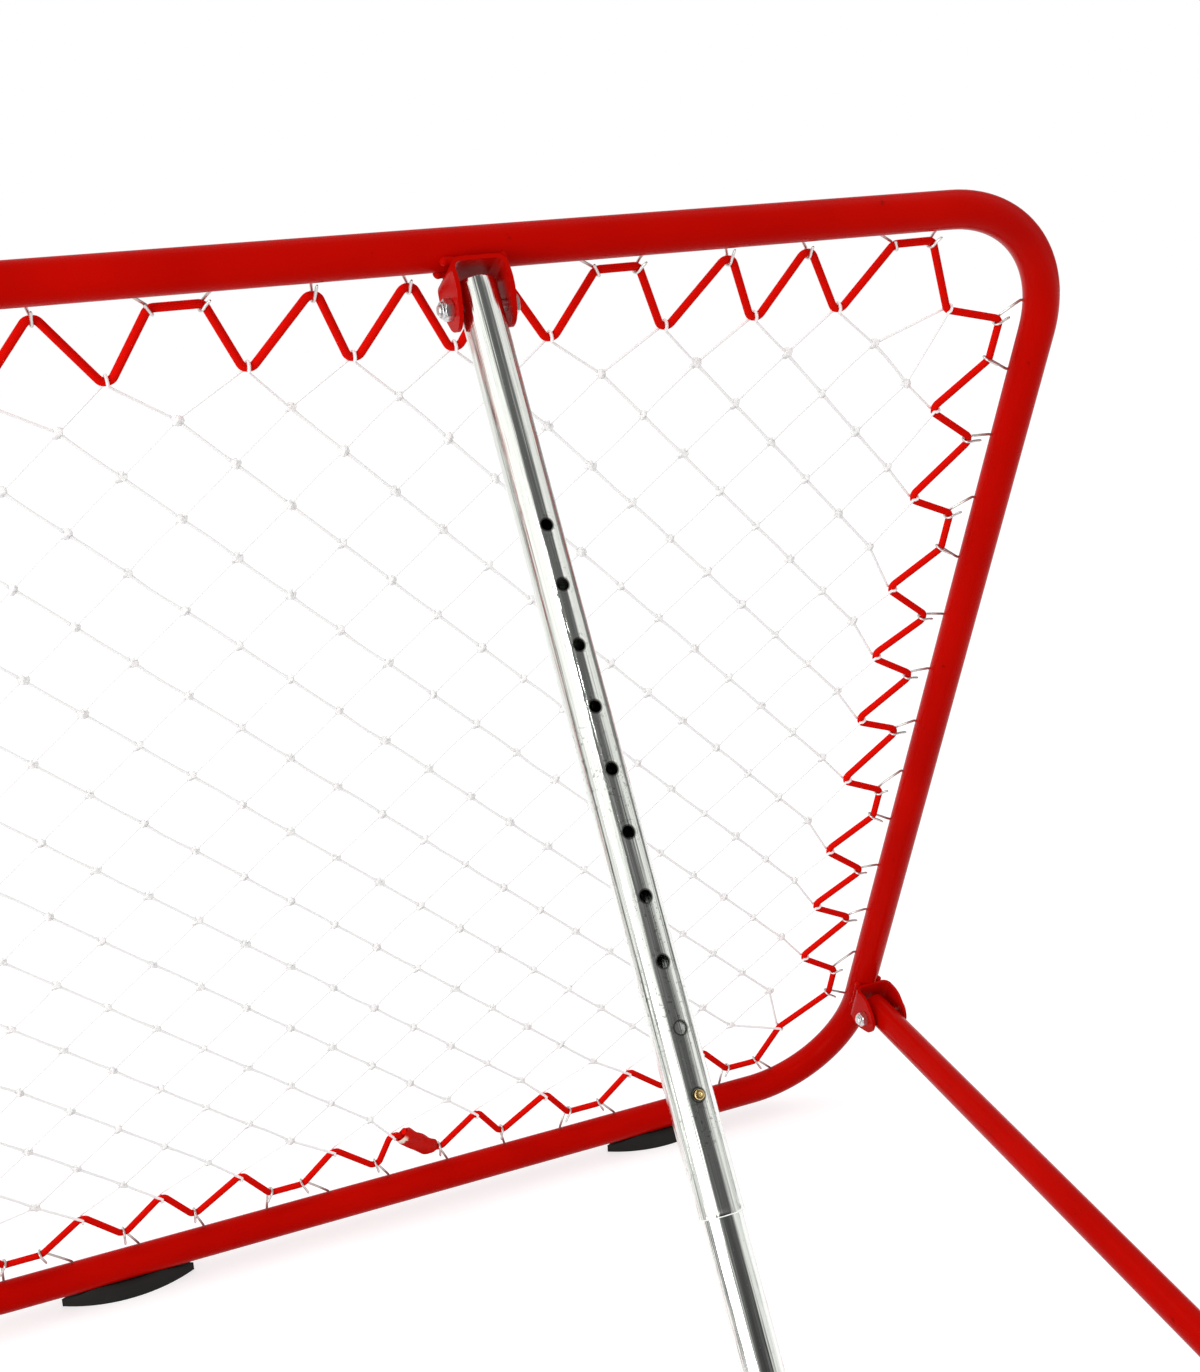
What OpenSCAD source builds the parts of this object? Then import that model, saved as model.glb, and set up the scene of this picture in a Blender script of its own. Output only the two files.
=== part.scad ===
// Rebound net frame: a square of bent round tube that leans back on a folding base and is
// held by a telescopic strut. An elastic cord laces a knotted net to hooks in the tube.
// Left and right are as seen from behind, where the strut is. +Y points backwards, away from
// the playing face, +Z points up, and the origin is on the floor under the middle of the part.

/* [Net frame] */
// Outer width and height of the square frame
frame_size = 1000; // [900:10:1100]
// Outside diameter of the frame tube
frame_d = 28.6; // [26:0.1:32]
// Wall of the frame tube
frame_wall = 1.5; // [1.2:0.1:2.5]
// Bend radius of the frame's corners, at the tube's axis
corner_r = 108; // [90:1:125]

/* [Hooks] */
// Wire of the hooks
hook_wire_d = 2.2; // [1.8:0.1:2.6]
// First hook hole of a side, from the frame's outer edge
hook_first = 98; // [90:1:110]
// Last hook hole of a side, from the frame's outer edge
hook_last = 122; // [112:1:135]
// Angle at which the holes are drilled towards the playing face
hook_drill = 30; // [26:1:34]
// Straight end of a hook past its turn
hook_tip = 8; // [5:0.5:10]
// Gap between a hook or a net loop and the cord
cord_gap = 0.35; // [0.3:0.05:0.6]
// Gap between the cord and the net's loops round it
loop_gap = 0.6; // [0.4:0.05:0.8]

/* [Lacing] */
// Diameter of the elastic cord
cord_d = 6; // [5:0.5:7]
// Bend radius of the cord, at its middle
cord_bend = 6; // [4.5:0.5:7]
// Distance of the cord in front of the tube's axis
net_front = 12; // [10:0.5:14]
// Distance of the cord inside the tube's axis, at the hooks
hook_in = 30; // [28:0.5:34]
// The same distance at the net's edge loops
loop_in = 71; // [66:1:76]
// The same distance at the net's corner loops
corner_in = 81; // [76:1:88]
// Length of the sleeve that joins the cord's two ends
splice_l = 46; // [36:1:50]
// Wall of that sleeve
splice_wall = 1.3; // [1:0.1:2]
// Gap between the cord's two ends in the sleeve
lap_gap = 0.3; // [0.3:0.05:0.6]

/* [Net] */
// Twine of the net
twine_d = 2.6; // [2:0.1:3]
// Width of a knot
knot_d = 7; // [6:0.5:8]
// Height of a knot
knot_h = 4.8; // [4:0.2:6]
// Row of edge knots inside the edge loops
edge_mesh = 33; // [28:1:38]
// How far the net hangs below the middle of the frame
net_drop = 6.5; // [0:0.5:9]

/* [Brackets] */
// Steel plate of the clevis brackets
plate = 3; // [2.5:0.1:4]
// Width between a bracket's cheeks
clevis_w = 34; // [33:0.5:38]
// Distance of a bracket's bolt from the tube's axis
bolt_out = 42.6; // [41:0.1:46]
// Width of a cheek where it leaves the web
cheek_w = 38; // [34:1:42]
// Width of a cheek's blunt end
cheek_end_w = 15; // [14:1:20]
// Length of a cheek past its bolt
cheek_past = 15; // [13:0.5:17]
// Corner radius of the cheeks
cheek_r = 5; // [3:0.5:6]
// Weld bead along a bracket's web
weld_d = 5; // [3:0.5:6]
// Slope of the top bracket below the square to the frame
top_slope = 37.2; // [34:0.1:40]
// Height of the hinge bolts above the bottom tube's axis
hinge_h = 123; // [110:1:135]

/* [Bolts] */
// Thread diameter of the bolts
bolt_d = 8; // [6:0.5:9]
// Width across flats of heads and nuts
hex_af = 13; // [12:0.5:14]
// Height of a bolt head
head_h = 5.3; // [4:0.1:6]
// Height of a lock nut with its collar
nut_h = 8; // [7:0.1:9]
// Height of the nut's round collar
collar_h = 1.8; // [1.2:0.1:2.4]
// Length of a bolt that shows past its nut
bolt_past = 1.5; // [0.5:0.1:3]
// Gap between a bolt and its hole
bolt_gap = 0.1; // [0.05:0.01:0.1]

/* [Base] */
// Outside diameter of the base tube
base_d = 26.9; // [25:0.1:28.6]
// Wall of the base tube
base_wall = 1.5; // [1.2:0.1:2.5]
// Length of the base from the hinge bolts to the rear tube's axis
base_len = 845; // [800:5:870]
// Bend radius of the base's corners, at the tube's axis
base_corner_r = 105; // [85:1:125]
// Length of tube past a hinge or strut bolt
tube_past = 16; // [14:0.5:17]
// Slope of the rear bracket above the base arms
rear_slope = 50.3; // [47:0.1:53]
// Length of the free play in the rear bracket's slots
slot_play = 7; // [6.8:0.1:8]
// Side play of the bolt in those slots
slot_side = 0.9; // [0.85:0.05:1.2]

/* [Strut] */
// Outside diameter of the outer strut tube
outer_d = 28.6; // [28:0.1:30]
// Wall of the outer strut tube
outer_wall = 1.5; // [1.3:0.1:1.8]
// Running gap between the strut tubes
strut_gap = 0.08; // [0.05:0.01:0.1]
// Wall of the inner strut tube
inner_wall = 1.5; // [1.2:0.1:2]
// Length of the strut from bolt to bolt, as it stands
strut_len = 1001; // [985:1:1012]
// Distance between the strut's holes
hole_pitch = 40; // [36:0.5:42]
// Number of holes
hole_n = 10; // [8:1:10]
// Diameter of the holes
hole_d = 8; // [7.5:0.1:9]
// Distance of the last hole below the top bolt
last_hole = 518; // [500:1:530]
// Length of outer tube below the last hole
outer_past = 70; // [60:1:80]
// Length of inner tube above the button
inner_past = 56; // [50:1:70]

/* [Button] */
// Diameter of the snap button
button_d = 6.3; // [5.5:0.1:6.8]
// Gap between the button and its hole in the inner tube
button_gap = 0.08; // [0.05:0.01:0.1]
// Height of the button above the outer tube
button_up = 1.8; // [1:0.1:3]
// Diameter of the button's foot inside the inner tube
button_foot_d = 9; // [8:0.5:10]
// Thickness of that foot
button_foot_t = 1; // [0.8:0.1:1.5]
// Thickness of the leaf spring
leaf_t = 0.8; // [0.6:0.1:1]
// Width of the leaf spring
leaf_w = 6; // [5:0.5:7]
// Length of the leaf spring past the button
leaf_l = 46; // [36:1:50]
// Half the height of the spring's folded end
leaf_bend = 2.5; // [2:0.1:4]
// Gap between spring or button foot and the bore
leaf_gap = 0.12; // [0.05:0.01:0.2]

/* [Feet] */
// Length of a rubber foot
foot_l = 120; // [100:2:130]
// Width of a rubber foot
foot_w = 34; // [30:1:38]
// Rubber below the frame tube
foot_h = 12; // [10:0.5:14]
// Height of rubber up the side of a tube
foot_up = 5; // [3:0.5:6]
// How far a foot's sides draw in towards the top
foot_taper = 1.5; // [0:0.1:2.5]
// Distance of a foot's inner end from the middle of the part
foot_in = 212; // [180:2:240]
// Gap between a foot and its tube
foot_gap = 0.05; // [0.02:0.01:0.1]

/* [Hidden] */
$fn = 64;
eps = 0.5;
// Diameter of the ball at a kink of a hook's wire, as a share of the wire's
kink = 1.12;
// Length that the wire stops short inside that ball
kink_gap = 0.25;
red = [0.72, 0.03, 0.02];
zinc = [0.75, 0.77, 0.76];

// Half the distance between opposite tubes of the frame, at their axes
axis_half = (frame_size - frame_d) / 2;

// The lacing of one side, clockwise from behind: where the cord turns, in hook pitches from the
// middle of the side, and whether it turns on a hook (1) or in a loop of the net (0). Pairs of
// hooks follow each other where the net has fewer loops than the tube has hooks.
lacing = [[-6.40, 1], [-5.83, 1], [-5.27, 0], [-4.62, 1], [-3.90, 0], [-3.42, 1], [-2.85, 1], [-2.38, 0],
          [-1.65, 1], [-1.18, 0], [-0.57, 1], [0.02, 0], [0.50, 1], [1.20, 0], [1.70, 1], [2.23, 1],
          [2.68, 0], [3.42, 1], [3.90, 0], [4.50, 1], [5.08, 0], [5.72, 1], [6.27, 1]];
hook_turns = [for (i = [0:len(lacing) - 1]) if (lacing[i][1] == 1) i];
loop_turns = [for (i = [0:len(lacing) - 1]) if (lacing[i][1] == 0) i];
hook_n = len(hook_turns);
hook_pitch = (frame_size - hook_first - hook_last) / (hook_n - 1);

// The cord's joint lies in front of this turn of the bottom side, whose loop it pushes aside
bottom = 2;
splice_turn = 11;
splice_push = 0.21;

// Points and directions in the plane of the net: x across, y up, from the middle of the frame
function unit(v) = v / norm(v);
function turned(p, a) = [p[0] * cos(a) - p[1] * sin(a), p[0] * sin(a) + p[1] * cos(a)];
function side_point(k, t, inward) = turned([-t, axis_half - inward], 90 * k);
function station(k, i) = (lacing[i][0] + (k == bottom && i == splice_turn ? splice_push : 0)) * hook_pitch;
function turn_point(k, i) = i < 0 ? side_point(k, -(axis_half - corner_in), corner_in)
    : lacing[i][1] == 1 ? side_point(k, station(k, i), hook_in)
    : side_point(k, station(k, i), loop_in) - [0, net_drop];

// The cord's turns in order. Its run before the turn that follows the joint is aslant, so that
// the two ends pass each other in the sleeve.
turn_n = len(lacing) + 1;
cord_at = [for (k = [0:3], i = [-1:len(lacing) - 1]) turn_point(k, i)];
cord_n = len(cord_at);
function turn_no(k, i) = k * turn_n + i + 1;
function next(i) = (i + 1) % cord_n;
function last(i) = (i + cord_n - 1) % cord_n;
joint = turn_no(bottom, splice_turn);
lap = cord_d + lap_gap;
function dir(p, i) = let (v = p[next(i)] - p[i])
    next(i) == joint ? turned(unit(v), asin(lap / norm(v))) : unit(v);
function bend_angle(p, i) = acos(dir(p, last(i)) * dir(p, i));
function bend_side(p, i) = unit(dir(p, i) - dir(p, last(i)));
function bend_depth(p, i) = cord_bend * (1 / cos(bend_angle(p, i) / 2) - 1);

// Corners of the cord's line, moved out step by step until each bend's own apex is at its turn
corner_steps = 8;
function corners(p, steps) = steps == 0 ? p
    : corners([for (i = [0:cord_n - 1]) cord_at[i] - bend_side(p, i) * bend_depth(p, i)], steps - 1);
cord_corner = corners(cord_at, corner_steps);
function turn_side(i) = bend_side(cord_corner, i);
function corner_reach(i) = cord_bend * tan(bend_angle(cord_corner, i) / 2);

// Knots: even rows and columns of a square grid, every other place of it
grid_n = 10;
grid = (axis_half - loop_in - edge_mesh) / grid_n;
function knot(i, j) = [i * grid, j * grid - net_drop];
function edge_knot(k, i) = turned([-i * grid, grid_n * grid], 90 * k) - [0, net_drop];

// The linkage seen from the side: points of the net frame from the bottom tube's axis, as
// [backwards, up], points of the base from the hinge bolts, as [along the arms, up]
top_pin = [bolt_out * cos(top_slope), 2 * axis_half - bolt_out * sin(top_slope)];
hinge_pin = [bolt_out, hinge_h];
rear_pin = [base_len - bolt_out * cos(rear_slope), bolt_out * sin(rear_slope)];
to_top = top_pin - hinge_pin;
knee = acos((to_top * to_top + rear_pin * rear_pin - strut_len * strut_len)
    / (2 * norm(to_top) * norm(rear_pin)));
arm_slope = atan2(to_top[1], to_top[0]) - knee - atan2(rear_pin[1], rear_pin[0]);

// Both tubes stand on their feet: this settles how far the frame leans back
rise = hinge_h + base_len * sin(arm_slope);
run = bolt_out + base_len * cos(arm_slope);
lean = acos((base_d - frame_d) / 2 / norm([rise, run])) - atan2(run, rise);
base_slope = lean - arm_slope;

// Places in the part's own frame, as [y, z]
function leaned(p) = [p[0] * cos(lean) + p[1] * sin(lean), p[1] * cos(lean) - p[0] * sin(lean)];
rear_y = leaned(hinge_pin)[0] + base_len * cos(base_slope);
bottom_at = [-(rear_y + (base_d - frame_d) / 2) / 2, frame_d / 2 + foot_h];
hinge_at = bottom_at + leaned(hinge_pin);
top_at = bottom_at + leaned(top_pin);
rear_at = hinge_at + [base_len * cos(base_slope), -base_len * sin(base_slope)];
rear_pin_at = hinge_at + [rear_pin[0] * cos(base_slope) + rear_pin[1] * sin(base_slope),
    rear_pin[1] * cos(base_slope) - rear_pin[0] * sin(base_slope)];
strut_tilt = atan2(rear_pin_at[0] - top_at[0], top_at[1] - rear_pin_at[1]);
inner_d = outer_d - 2 * outer_wall - 2 * strut_gap;

echo(lean = lean, base_slope = base_slope, strut_tilt = strut_tilt);
echo(bottom_at = bottom_at, hinge_at = hinge_at, top_at = top_at, rear_pin_at = rear_pin_at, rear_at = rear_at);

// Local places of the bodies
module at_frame() { translate([0, bottom_at[0], bottom_at[1]]) rotate([-lean, 0, 0]) children(); }
module at_base() { translate([0, hinge_at[0], hinge_at[1]]) rotate([-base_slope, 0, 0]) children(); }
module at_strut() { translate([0, top_at[0], top_at[1]]) rotate([strut_tilt, 0, 0]) children(); }
module at_net() { at_frame() translate([0, -net_front, axis_half]) rotate([90, 0, 0]) children(); }

// A round bar between two points
module rod(p, q, d, sides = $fn) {
    v = q - p;
    translate(p) rotate([0, acos(v[2] / norm(v)), atan2(v[1], v[0])])
        cylinder(h = norm(v), d = d, $fn = sides);
}

// A polygon whose corners are rounded by arcs of the given radii
function rounded(points, radii, steps = 5) = [for (i = [0:len(points) - 1])
    let (n = len(points), p = points[i], a = unit(points[(i + n - 1) % n] - p),
         b = unit(points[(i + 1) % n] - p), half = acos(a * b) / 2, r = radii[i],
         c = p + unit(a + b) * r / sin(half), from = p + a * r / tan(half) - c,
         sweep = (a[0] * b[1] - a[1] * b[0] > 0 ? -1 : 1) * (180 - 2 * half))
    each r == 0 ? [p] : [for (s = [0:steps]) c + turned(from, sweep * s / steps)]];

// Bent round bar: quarter bends of the given radius join straight tubes, all in the plane of x and z
module loop_tube(half_w, half_h, r, d) {
    for (s = [-1, 1]) {
        translate([-(half_w - r), 0, s * half_h]) rotate([0, 90, 0]) cylinder(h = 2 * (half_w - r), d = d);
        translate([s * half_w, 0, -(half_h - r)]) cylinder(h = 2 * (half_h - r), d = d);
    }
    for (k = [0:3])
        rotate([90, 0, 0]) rotate([0, 0, 90 * k]) translate([half_w - r, half_h - r, 0])
            rotate_extrude(angle = 90) translate([r, 0]) circle(d = d);
}

// Hooks, on the top side: x along the tube, y backwards, z up from the tube's axis. The outermost
// holes lie where the tube begins to bend, so its axis is farther in there.
function hook_hole(i) = -frame_size / 2 + hook_first + i * hook_pitch;
function tube_in(t) = let (past = max(0, abs(t) - (axis_half - corner_r)))
    corner_r - sqrt(corner_r * corner_r - past * past);
function drilled(t, r) = [-t, -r * sin(hook_drill), -r * cos(hook_drill) - tube_in(t)];
wrap_r = (cord_d + hook_wire_d) / 2 + cord_gap;

module hook_holes(k) {
    translate([0, 0, axis_half]) rotate([0, -90 * k, 0]) translate([0, 0, axis_half])
        for (i = [0:hook_n - 1])
            rod(drilled(hook_hole(i), frame_d / 4), drilled(hook_hole(i), frame_d), hook_wire_d + 2 * bolt_gap, 24);
}

// One hook: a straight end in its hole, a shank to the cord, just over half a turn round it and a
// free tip. The turn goes on until the shank leaves it without a corner.
module hook(k, i) {
    turn = turn_no(k, hook_turns[i]);
    centre = cord_at[turn];
    out = turn_side(turn);
    inward = turned([0, -1], 90 * k);
    hole = turned([-hook_hole(i), axis_half], 90 * k) + inward * tube_in(hook_hole(i));
    depth = frame_d / 2 - frame_wall - 1;
    seat = (frame_d + hook_wire_d * kink) / 2;
    start = flat(hole + inward * depth * cos(hook_drill)) + [0, 0, depth * sin(hook_drill) - net_front];
    bent = flat(hole + inward * seat * cos(hook_drill)) + [0, 0, seat * sin(hook_drill) - net_front];
    away = (centre - [bent[0], bent[1]]) * out;
    more = 90 - atan2(bent[2], away) - acos(wrap_r / norm([away, bent[2]]));
    leaves = flat(centre - out * wrap_r * sin(more)) + [0, 0, wrap_r * cos(more)];
    rod(start, bent, hook_wire_d, 24);
    translate(bent) sphere(d = hook_wire_d * kink, $fn = 24);
    rod(bent, leaves - (leaves - bent) * kink_gap / norm(leaves - bent), hook_wire_d, 24);
    translate(flat(centre)) rotate([0, 0, atan2(out[1], out[0])]) rotate([90, 0, 0]) {
        rotate([0, 0, -90]) rotate_extrude(angle = 180 + more - kink_gap / wrap_r * 180 / PI)
            translate([wrap_r, 0]) circle(d = hook_wire_d, $fn = 24);
        rotate([0, 0, more]) translate([0, wrap_r, 0]) sphere(d = hook_wire_d * kink, $fn = 24);
        translate([-hook_tip, -wrap_r, 0]) rotate([0, 90, 0]) cylinder(h = hook_tip, d = hook_wire_d, $fn = 24);
    }
}

module hooks(k) { color(zinc) at_net() for (i = [0:hook_n - 1]) hook(k, i); }
module hooks_top() hooks(0);
module hooks_right() hooks(1);
module hooks_bottom() hooks(2);
module hooks_left() hooks(3);

// Frame tube with its hook holes
module frame_tube() {
    color(red) at_frame() difference() {
        translate([0, 0, axis_half]) loop_tube(axis_half, axis_half, corner_r, frame_d);
        translate([0, 0, axis_half]) loop_tube(axis_half, axis_half, corner_r, frame_d - 2 * frame_wall);
        for (k = [0:3]) hook_holes(k);
    }
}

// Elastic cord: one length, swept through rings at the start, middle and end of every bend.
// It starts and ends side by side in the sleeve.
cord_sides = 8;
function flat(p) = [p[0], p[1], 0];
function right_of(d) = [d[1], -d[0]];
function ring(c, d) = [for (s = [0:cord_sides - 1]) let (a = (s + 0.5) * 360 / cord_sides)
    flat(c + right_of(d) * cos(a) * cord_d / 2) + [0, 0, sin(a) * cord_d / 2]];
joint_dir = dir(cord_corner, last(joint));
joint_at = (cord_corner[last(joint)] + cord_corner[joint]) / 2
    + joint_dir * (corner_reach(last(joint)) - corner_reach(joint)) / 2;
joint_side = right_of(joint_dir) * lap / 2;
function bend_rings(i) = let (a = dir(cord_corner, last(i)), b = dir(cord_corner, i), r = corner_reach(i),
        half = bend_angle(cord_corner, i) / 2)
    [ring(cord_corner[i] - a * r, a),
     ring(cord_corner[i] + bend_side(cord_corner, i) * cord_bend * (1 / cos(half) - 1), unit(a + b)),
     ring(cord_corner[i] + b * r, b)];
cord_rings = concat([ring(joint_at + joint_side - joint_dir * (splice_l / 2 + 1), joint_dir)],
    [for (i = [0:cord_n - 1]) each bend_rings((joint + i) % cord_n)],
    [ring(joint_at - joint_side + joint_dir * (splice_l / 2 + 1), joint_dir)]);

module elastic_cord() {
    n = cord_sides;
    end = (len(cord_rings) - 1) * n;
    color(red) at_net() polyhedron(
        points = [for (r = cord_rings) each r],
        faces = [for (i = [1:n - 2]) [0, i + 1, i], for (i = [1:n - 2]) [end, end + i, end + i + 1],
                 for (k = [0:len(cord_rings) - 2], i = [0:n - 1]) let (a = k * n + i, b = k * n + (i + 1) % n)
                     each [[a, b + n, a + n], [a, b, b + n]]]);
}

// Sleeve that holds the cord's two ends side by side
module stadium(d) {
    for (s = [-1, 1]) translate([s * lap / 2, 0]) circle(d = d);
    square([lap, d], center = true);
}
module cord_splice() {
    color(red) at_net() translate(flat(joint_at)) rotate([0, 0, atan2(joint_dir[1], joint_dir[0])])
        rotate([90, 0, 90]) difference() {
            translate([0, 0, -splice_l / 2]) linear_extrude(splice_l) stadium(cord_d + 2 * splice_wall);
            translate([0, 0, -splice_l]) linear_extrude(2 * splice_l) stadium(cord_d + 0.1);
        }
}

// Net: one web of twine with three-sided strands. A knot has a ring for each of its four
// strands (left, top, right as seen from the knot) and a point above and below its middle.
// At the edge one strand runs on round the cord, in front of it and back behind it, to the next knot.
ring_out = knot_d / 2 * cos(22.5);
strand_half = twine_d / 2;
strand_low = twine_d * 0.3;
strand_top = twine_d * 0.6;
wrap = [for (a = [70:55:290]) a];
wrap_out = (cord_d / 2 + loop_gap) / cos(27.5) + strand_low;
function strand(c, w, t) = [c - w * strand_half - t * strand_low, c + t * strand_top, c + w * strand_half - t * strand_low];
function knot_points(p) = concat(
    [for (s = [0:3]) let (e = turned([1, 0], 45 + 90 * s)) each strand(flat(p + e * ring_out), flat(right_of(e)), [0, 0, 1])],
    [flat(p) + [0, 0, knot_h / 2], flat(p) - [0, 0, knot_h / 2]]);
per_knot = 14;
function knot_no(i, j) = per_knot * ((j + grid_n) * (2 * grid_n + 1) + i + grid_n - 1) / 2;
function end_ring(k, s) = k + 3 * (s % 4);
function tube_faces(a, b) = [for (i = [0:2]) let (j = (i + 1) % 3) each [[a[i], b[i], b[j]], [a[i], b[j], a[j]]]];
function out_ring(r) = [r, r + 1, r + 2];
function in_ring(r) = [r + 2, r + 1, r];
function knot_faces(k) = concat(
    [for (s = [0:3]) let (r = end_ring(k, s), n = end_ring(k, s + 1), top = k + 12)
        each [[top, r + 1, r + 2], [top, r, r + 1], [top, n + 2, r]]],
    [for (s = [0:3]) let (r = end_ring(k, s), n = end_ring(k, s + 1), low = k + 13)
        each [[low, r + 2, r], [low, r, n + 2]]]);

// Edge loops as [turn of the cord, knot and strand it leaves, knot and strand it comes back to]
function edge_no(k, i) = let (p = turned([-i, grid_n], 90 * k)) knot_no(round(p[0]), round(p[1]));
edge_loops = [for (k = [0:3]) each concat(
    [[turn_no(k, -1), end_ring(edge_no(k + 3, grid_n - 1), k), end_ring(edge_no(k, 1 - grid_n), k)]],
    [for (m = [0:len(loop_turns) - 1]) let (i = 2 * m + 2 - grid_n)
        [turn_no(k, loop_turns[m]), end_ring(edge_no(k, i - 1), k + 1), end_ring(edge_no(k, i + 1), k)]])];
function loop_points(turn) = let (p = cord_at[turn], in = -turn_side(turn))
    [for (a = wrap) let (t = flat(in) * cos(a) + [0, 0, sin(a)]) each strand(flat(p) + t * wrap_out, flat(-right_of(in)), t)];
function loop_faces(first, from, to) = concat(
    tube_faces(out_ring(from), out_ring(first)),
    [for (i = [0:len(wrap) - 2]) each tube_faces(out_ring(first + 3 * i), out_ring(first + 3 * i + 3))],
    tube_faces(out_ring(first + 3 * len(wrap) - 3), [to, to + 2, to + 1]));

module net() {
    places = [for (j = [-grid_n:grid_n], i = [-grid_n:grid_n]) if ((i + j) % 2 != 0) [i, j]];
    loops_from = len(places) * per_knot;
    color("white") at_net() polyhedron(
        points = concat([for (p = places) each knot_points(knot(p[0], p[1]))],
                        [for (l = edge_loops) each loop_points(l[0])]),
        faces = concat(
            [for (p = places) each knot_faces(knot_no(p[0], p[1]))],
            [for (p = places, s = [0, 1]) let (i = p[0] + 1 - 2 * s, j = p[1] + 1)
                if (j <= grid_n && abs(i) <= grid_n)
                    each tube_faces(out_ring(end_ring(knot_no(p[0], p[1]), s)), in_ring(end_ring(knot_no(i, j), s + 2)))],
            [for (n = [0:len(edge_loops) - 1])
                each loop_faces(loops_from + 3 * len(wrap) * n, edge_loops[n][1], edge_loops[n][2])]));
}

// Clevis bracket: y away from the tube's axis, x between the cheeks
module clevis(tube_d, slot = 0) {
    seat = tube_d / 2;
    end = bolt_out + slot + cheek_past;
    cheek = rounded([[seat, -cheek_w / 2], [bolt_out - 5, -cheek_w / 2], [end, -cheek_end_w / 2],
                     [end, cheek_end_w / 2], [bolt_out - 5, cheek_w / 2], [seat, cheek_w / 2]],
                    [0, cheek_r, cheek_r, cheek_r, cheek_r, 0]);
    difference() {
        union() {
            for (s = [-1, 1]) translate([s * (clevis_w + plate) / 2, 0, 0])
                rotate([90, 0, 90]) translate([0, 0, -plate / 2]) linear_extrude(plate) polygon(cheek);
            translate([-clevis_w / 2 - eps, seat, -cheek_w / 2]) cube([clevis_w + 2 * eps, plate, cheek_w]);
            for (s = [-1, 1]) translate([-clevis_w / 2 - plate, seat - 1, s * weld_d])
                rotate([0, 90, 0]) cylinder(h = clevis_w + 2 * plate, d = weld_d);
        }
        rotate([0, 90, 0]) cylinder(h = 4 * clevis_w, d = tube_d + 0.04, center = true);
        for (s = [-1, 1]) translate([s * (clevis_w + plate) / 2, bolt_out, 0]) rotate([0, 90, 0]) {
            if (slot == 0) cylinder(h = 2 * plate, d = bolt_d + 2 * bolt_gap, center = true);
            else slotted(slot);
        }
    }
}

// Slot from the bolt outwards, with play on every side
module slotted(length) {
    d = bolt_d + 2 * slot_side;
    cylinder(h = 2 * plate, d = d, center = true);
    translate([0, length, 0]) cylinder(h = 2 * plate, d = d, center = true);
    translate([-d / 2, 0, -plate]) cube([d, length, 2 * plate]);
}

module top_bracket() {
    color(red) at_frame() translate([0, 0, 2 * axis_half]) rotate([-top_slope, 0, 0]) clevis(frame_d);
}
module side_bracket(s) {
    color(red) at_frame() translate([s * axis_half, 0, hinge_h]) difference() {
        clevis(frame_d);
        cylinder(h = 3 * cheek_w, d = frame_d + 0.04, center = true);
    }
}
module side_bracket_right() side_bracket(-1);
module side_bracket_left() side_bracket(1);
module rear_bracket() {
    color(red) at_base() translate([0, base_len, 0]) rotate([180 - rear_slope, 0, 0]) clevis(base_d, slot_play);
}

// Bolts and lock nuts lie along x, with the nut on the side that s gives
hex_d = hex_af / cos(30);
stack = clevis_w / 2 + plate;
module bolt(s) {
    rotate([0, 90 * s, 0]) {
        translate([0, 0, -stack - head_h]) cylinder(h = head_h, d = hex_d, $fn = 6);
        translate([0, 0, -stack - eps]) cylinder(h = 2 * stack + nut_h + bolt_past + eps, d = bolt_d);
    }
}
module nut(s) {
    rotate([0, 90 * s, 0]) translate([0, 0, stack]) difference() {
        union() {
            intersection() {
                cylinder(h = nut_h - collar_h, d = hex_d, $fn = 6);
                translate([0, 0, -2.6]) sphere(d = hex_d + 2.6);
            }
            cylinder(h = nut_h, d = hex_af - 1.6);
        }
        translate([0, 0, -eps]) cylinder(h = nut_h + 2 * eps, d = bolt_d + 0.02);
    }
}
module at_top_bolt() { translate([0, top_at[0], top_at[1]]) rotate([strut_tilt, 0, 0]) children(); }
module at_side_bolt(s) { at_frame() translate([s * axis_half, hinge_pin[0], hinge_pin[1]]) children(); }
module at_rear_bolt() { at_strut() translate([0, 0, -strut_len]) children(); }
module top_bolt() { color(zinc) at_top_bolt() bolt(1); }
module top_nut() { color(zinc) at_top_bolt() nut(1); }
module side_bolts() { color(zinc) for (s = [-1, 1]) at_side_bolt(s) bolt(-s); }
module side_nuts() { color(zinc) for (s = [-1, 1]) at_side_bolt(s) nut(-s); }
module rear_bolt() { color(zinc) at_rear_bolt() bolt(1); }
module rear_nut() { color(zinc) at_rear_bolt() nut(1); }

// Base: two arms and a rear tube, bent from one length
module base_bar(d, past) {
    straight = base_len - base_corner_r;
    for (s = [-1, 1]) {
        translate([s * axis_half, straight, 0]) rotate([90, 0, 0]) cylinder(h = straight + past, d = d);
        translate([s * (axis_half - base_corner_r), straight, 0]) mirror([s < 0 ? 1 : 0, 0, 0])
            rotate_extrude(angle = 90) translate([base_corner_r, 0]) circle(d = d);
    }
    translate([-(axis_half - base_corner_r), base_len, 0]) rotate([0, 90, 0])
        cylinder(h = 2 * (axis_half - base_corner_r), d = d);
}
module base_tube() {
    color(red) at_base() difference() {
        base_bar(base_d, tube_past);
        base_bar(base_d - 2 * base_wall, tube_past + eps);
        for (s = [-1, 1]) translate([s * axis_half, 0, 0]) rotate([0, 90, 0])
            cylinder(h = 2 * base_d, d = bolt_d + 2 * bolt_gap, center = true);
    }
}

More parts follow.
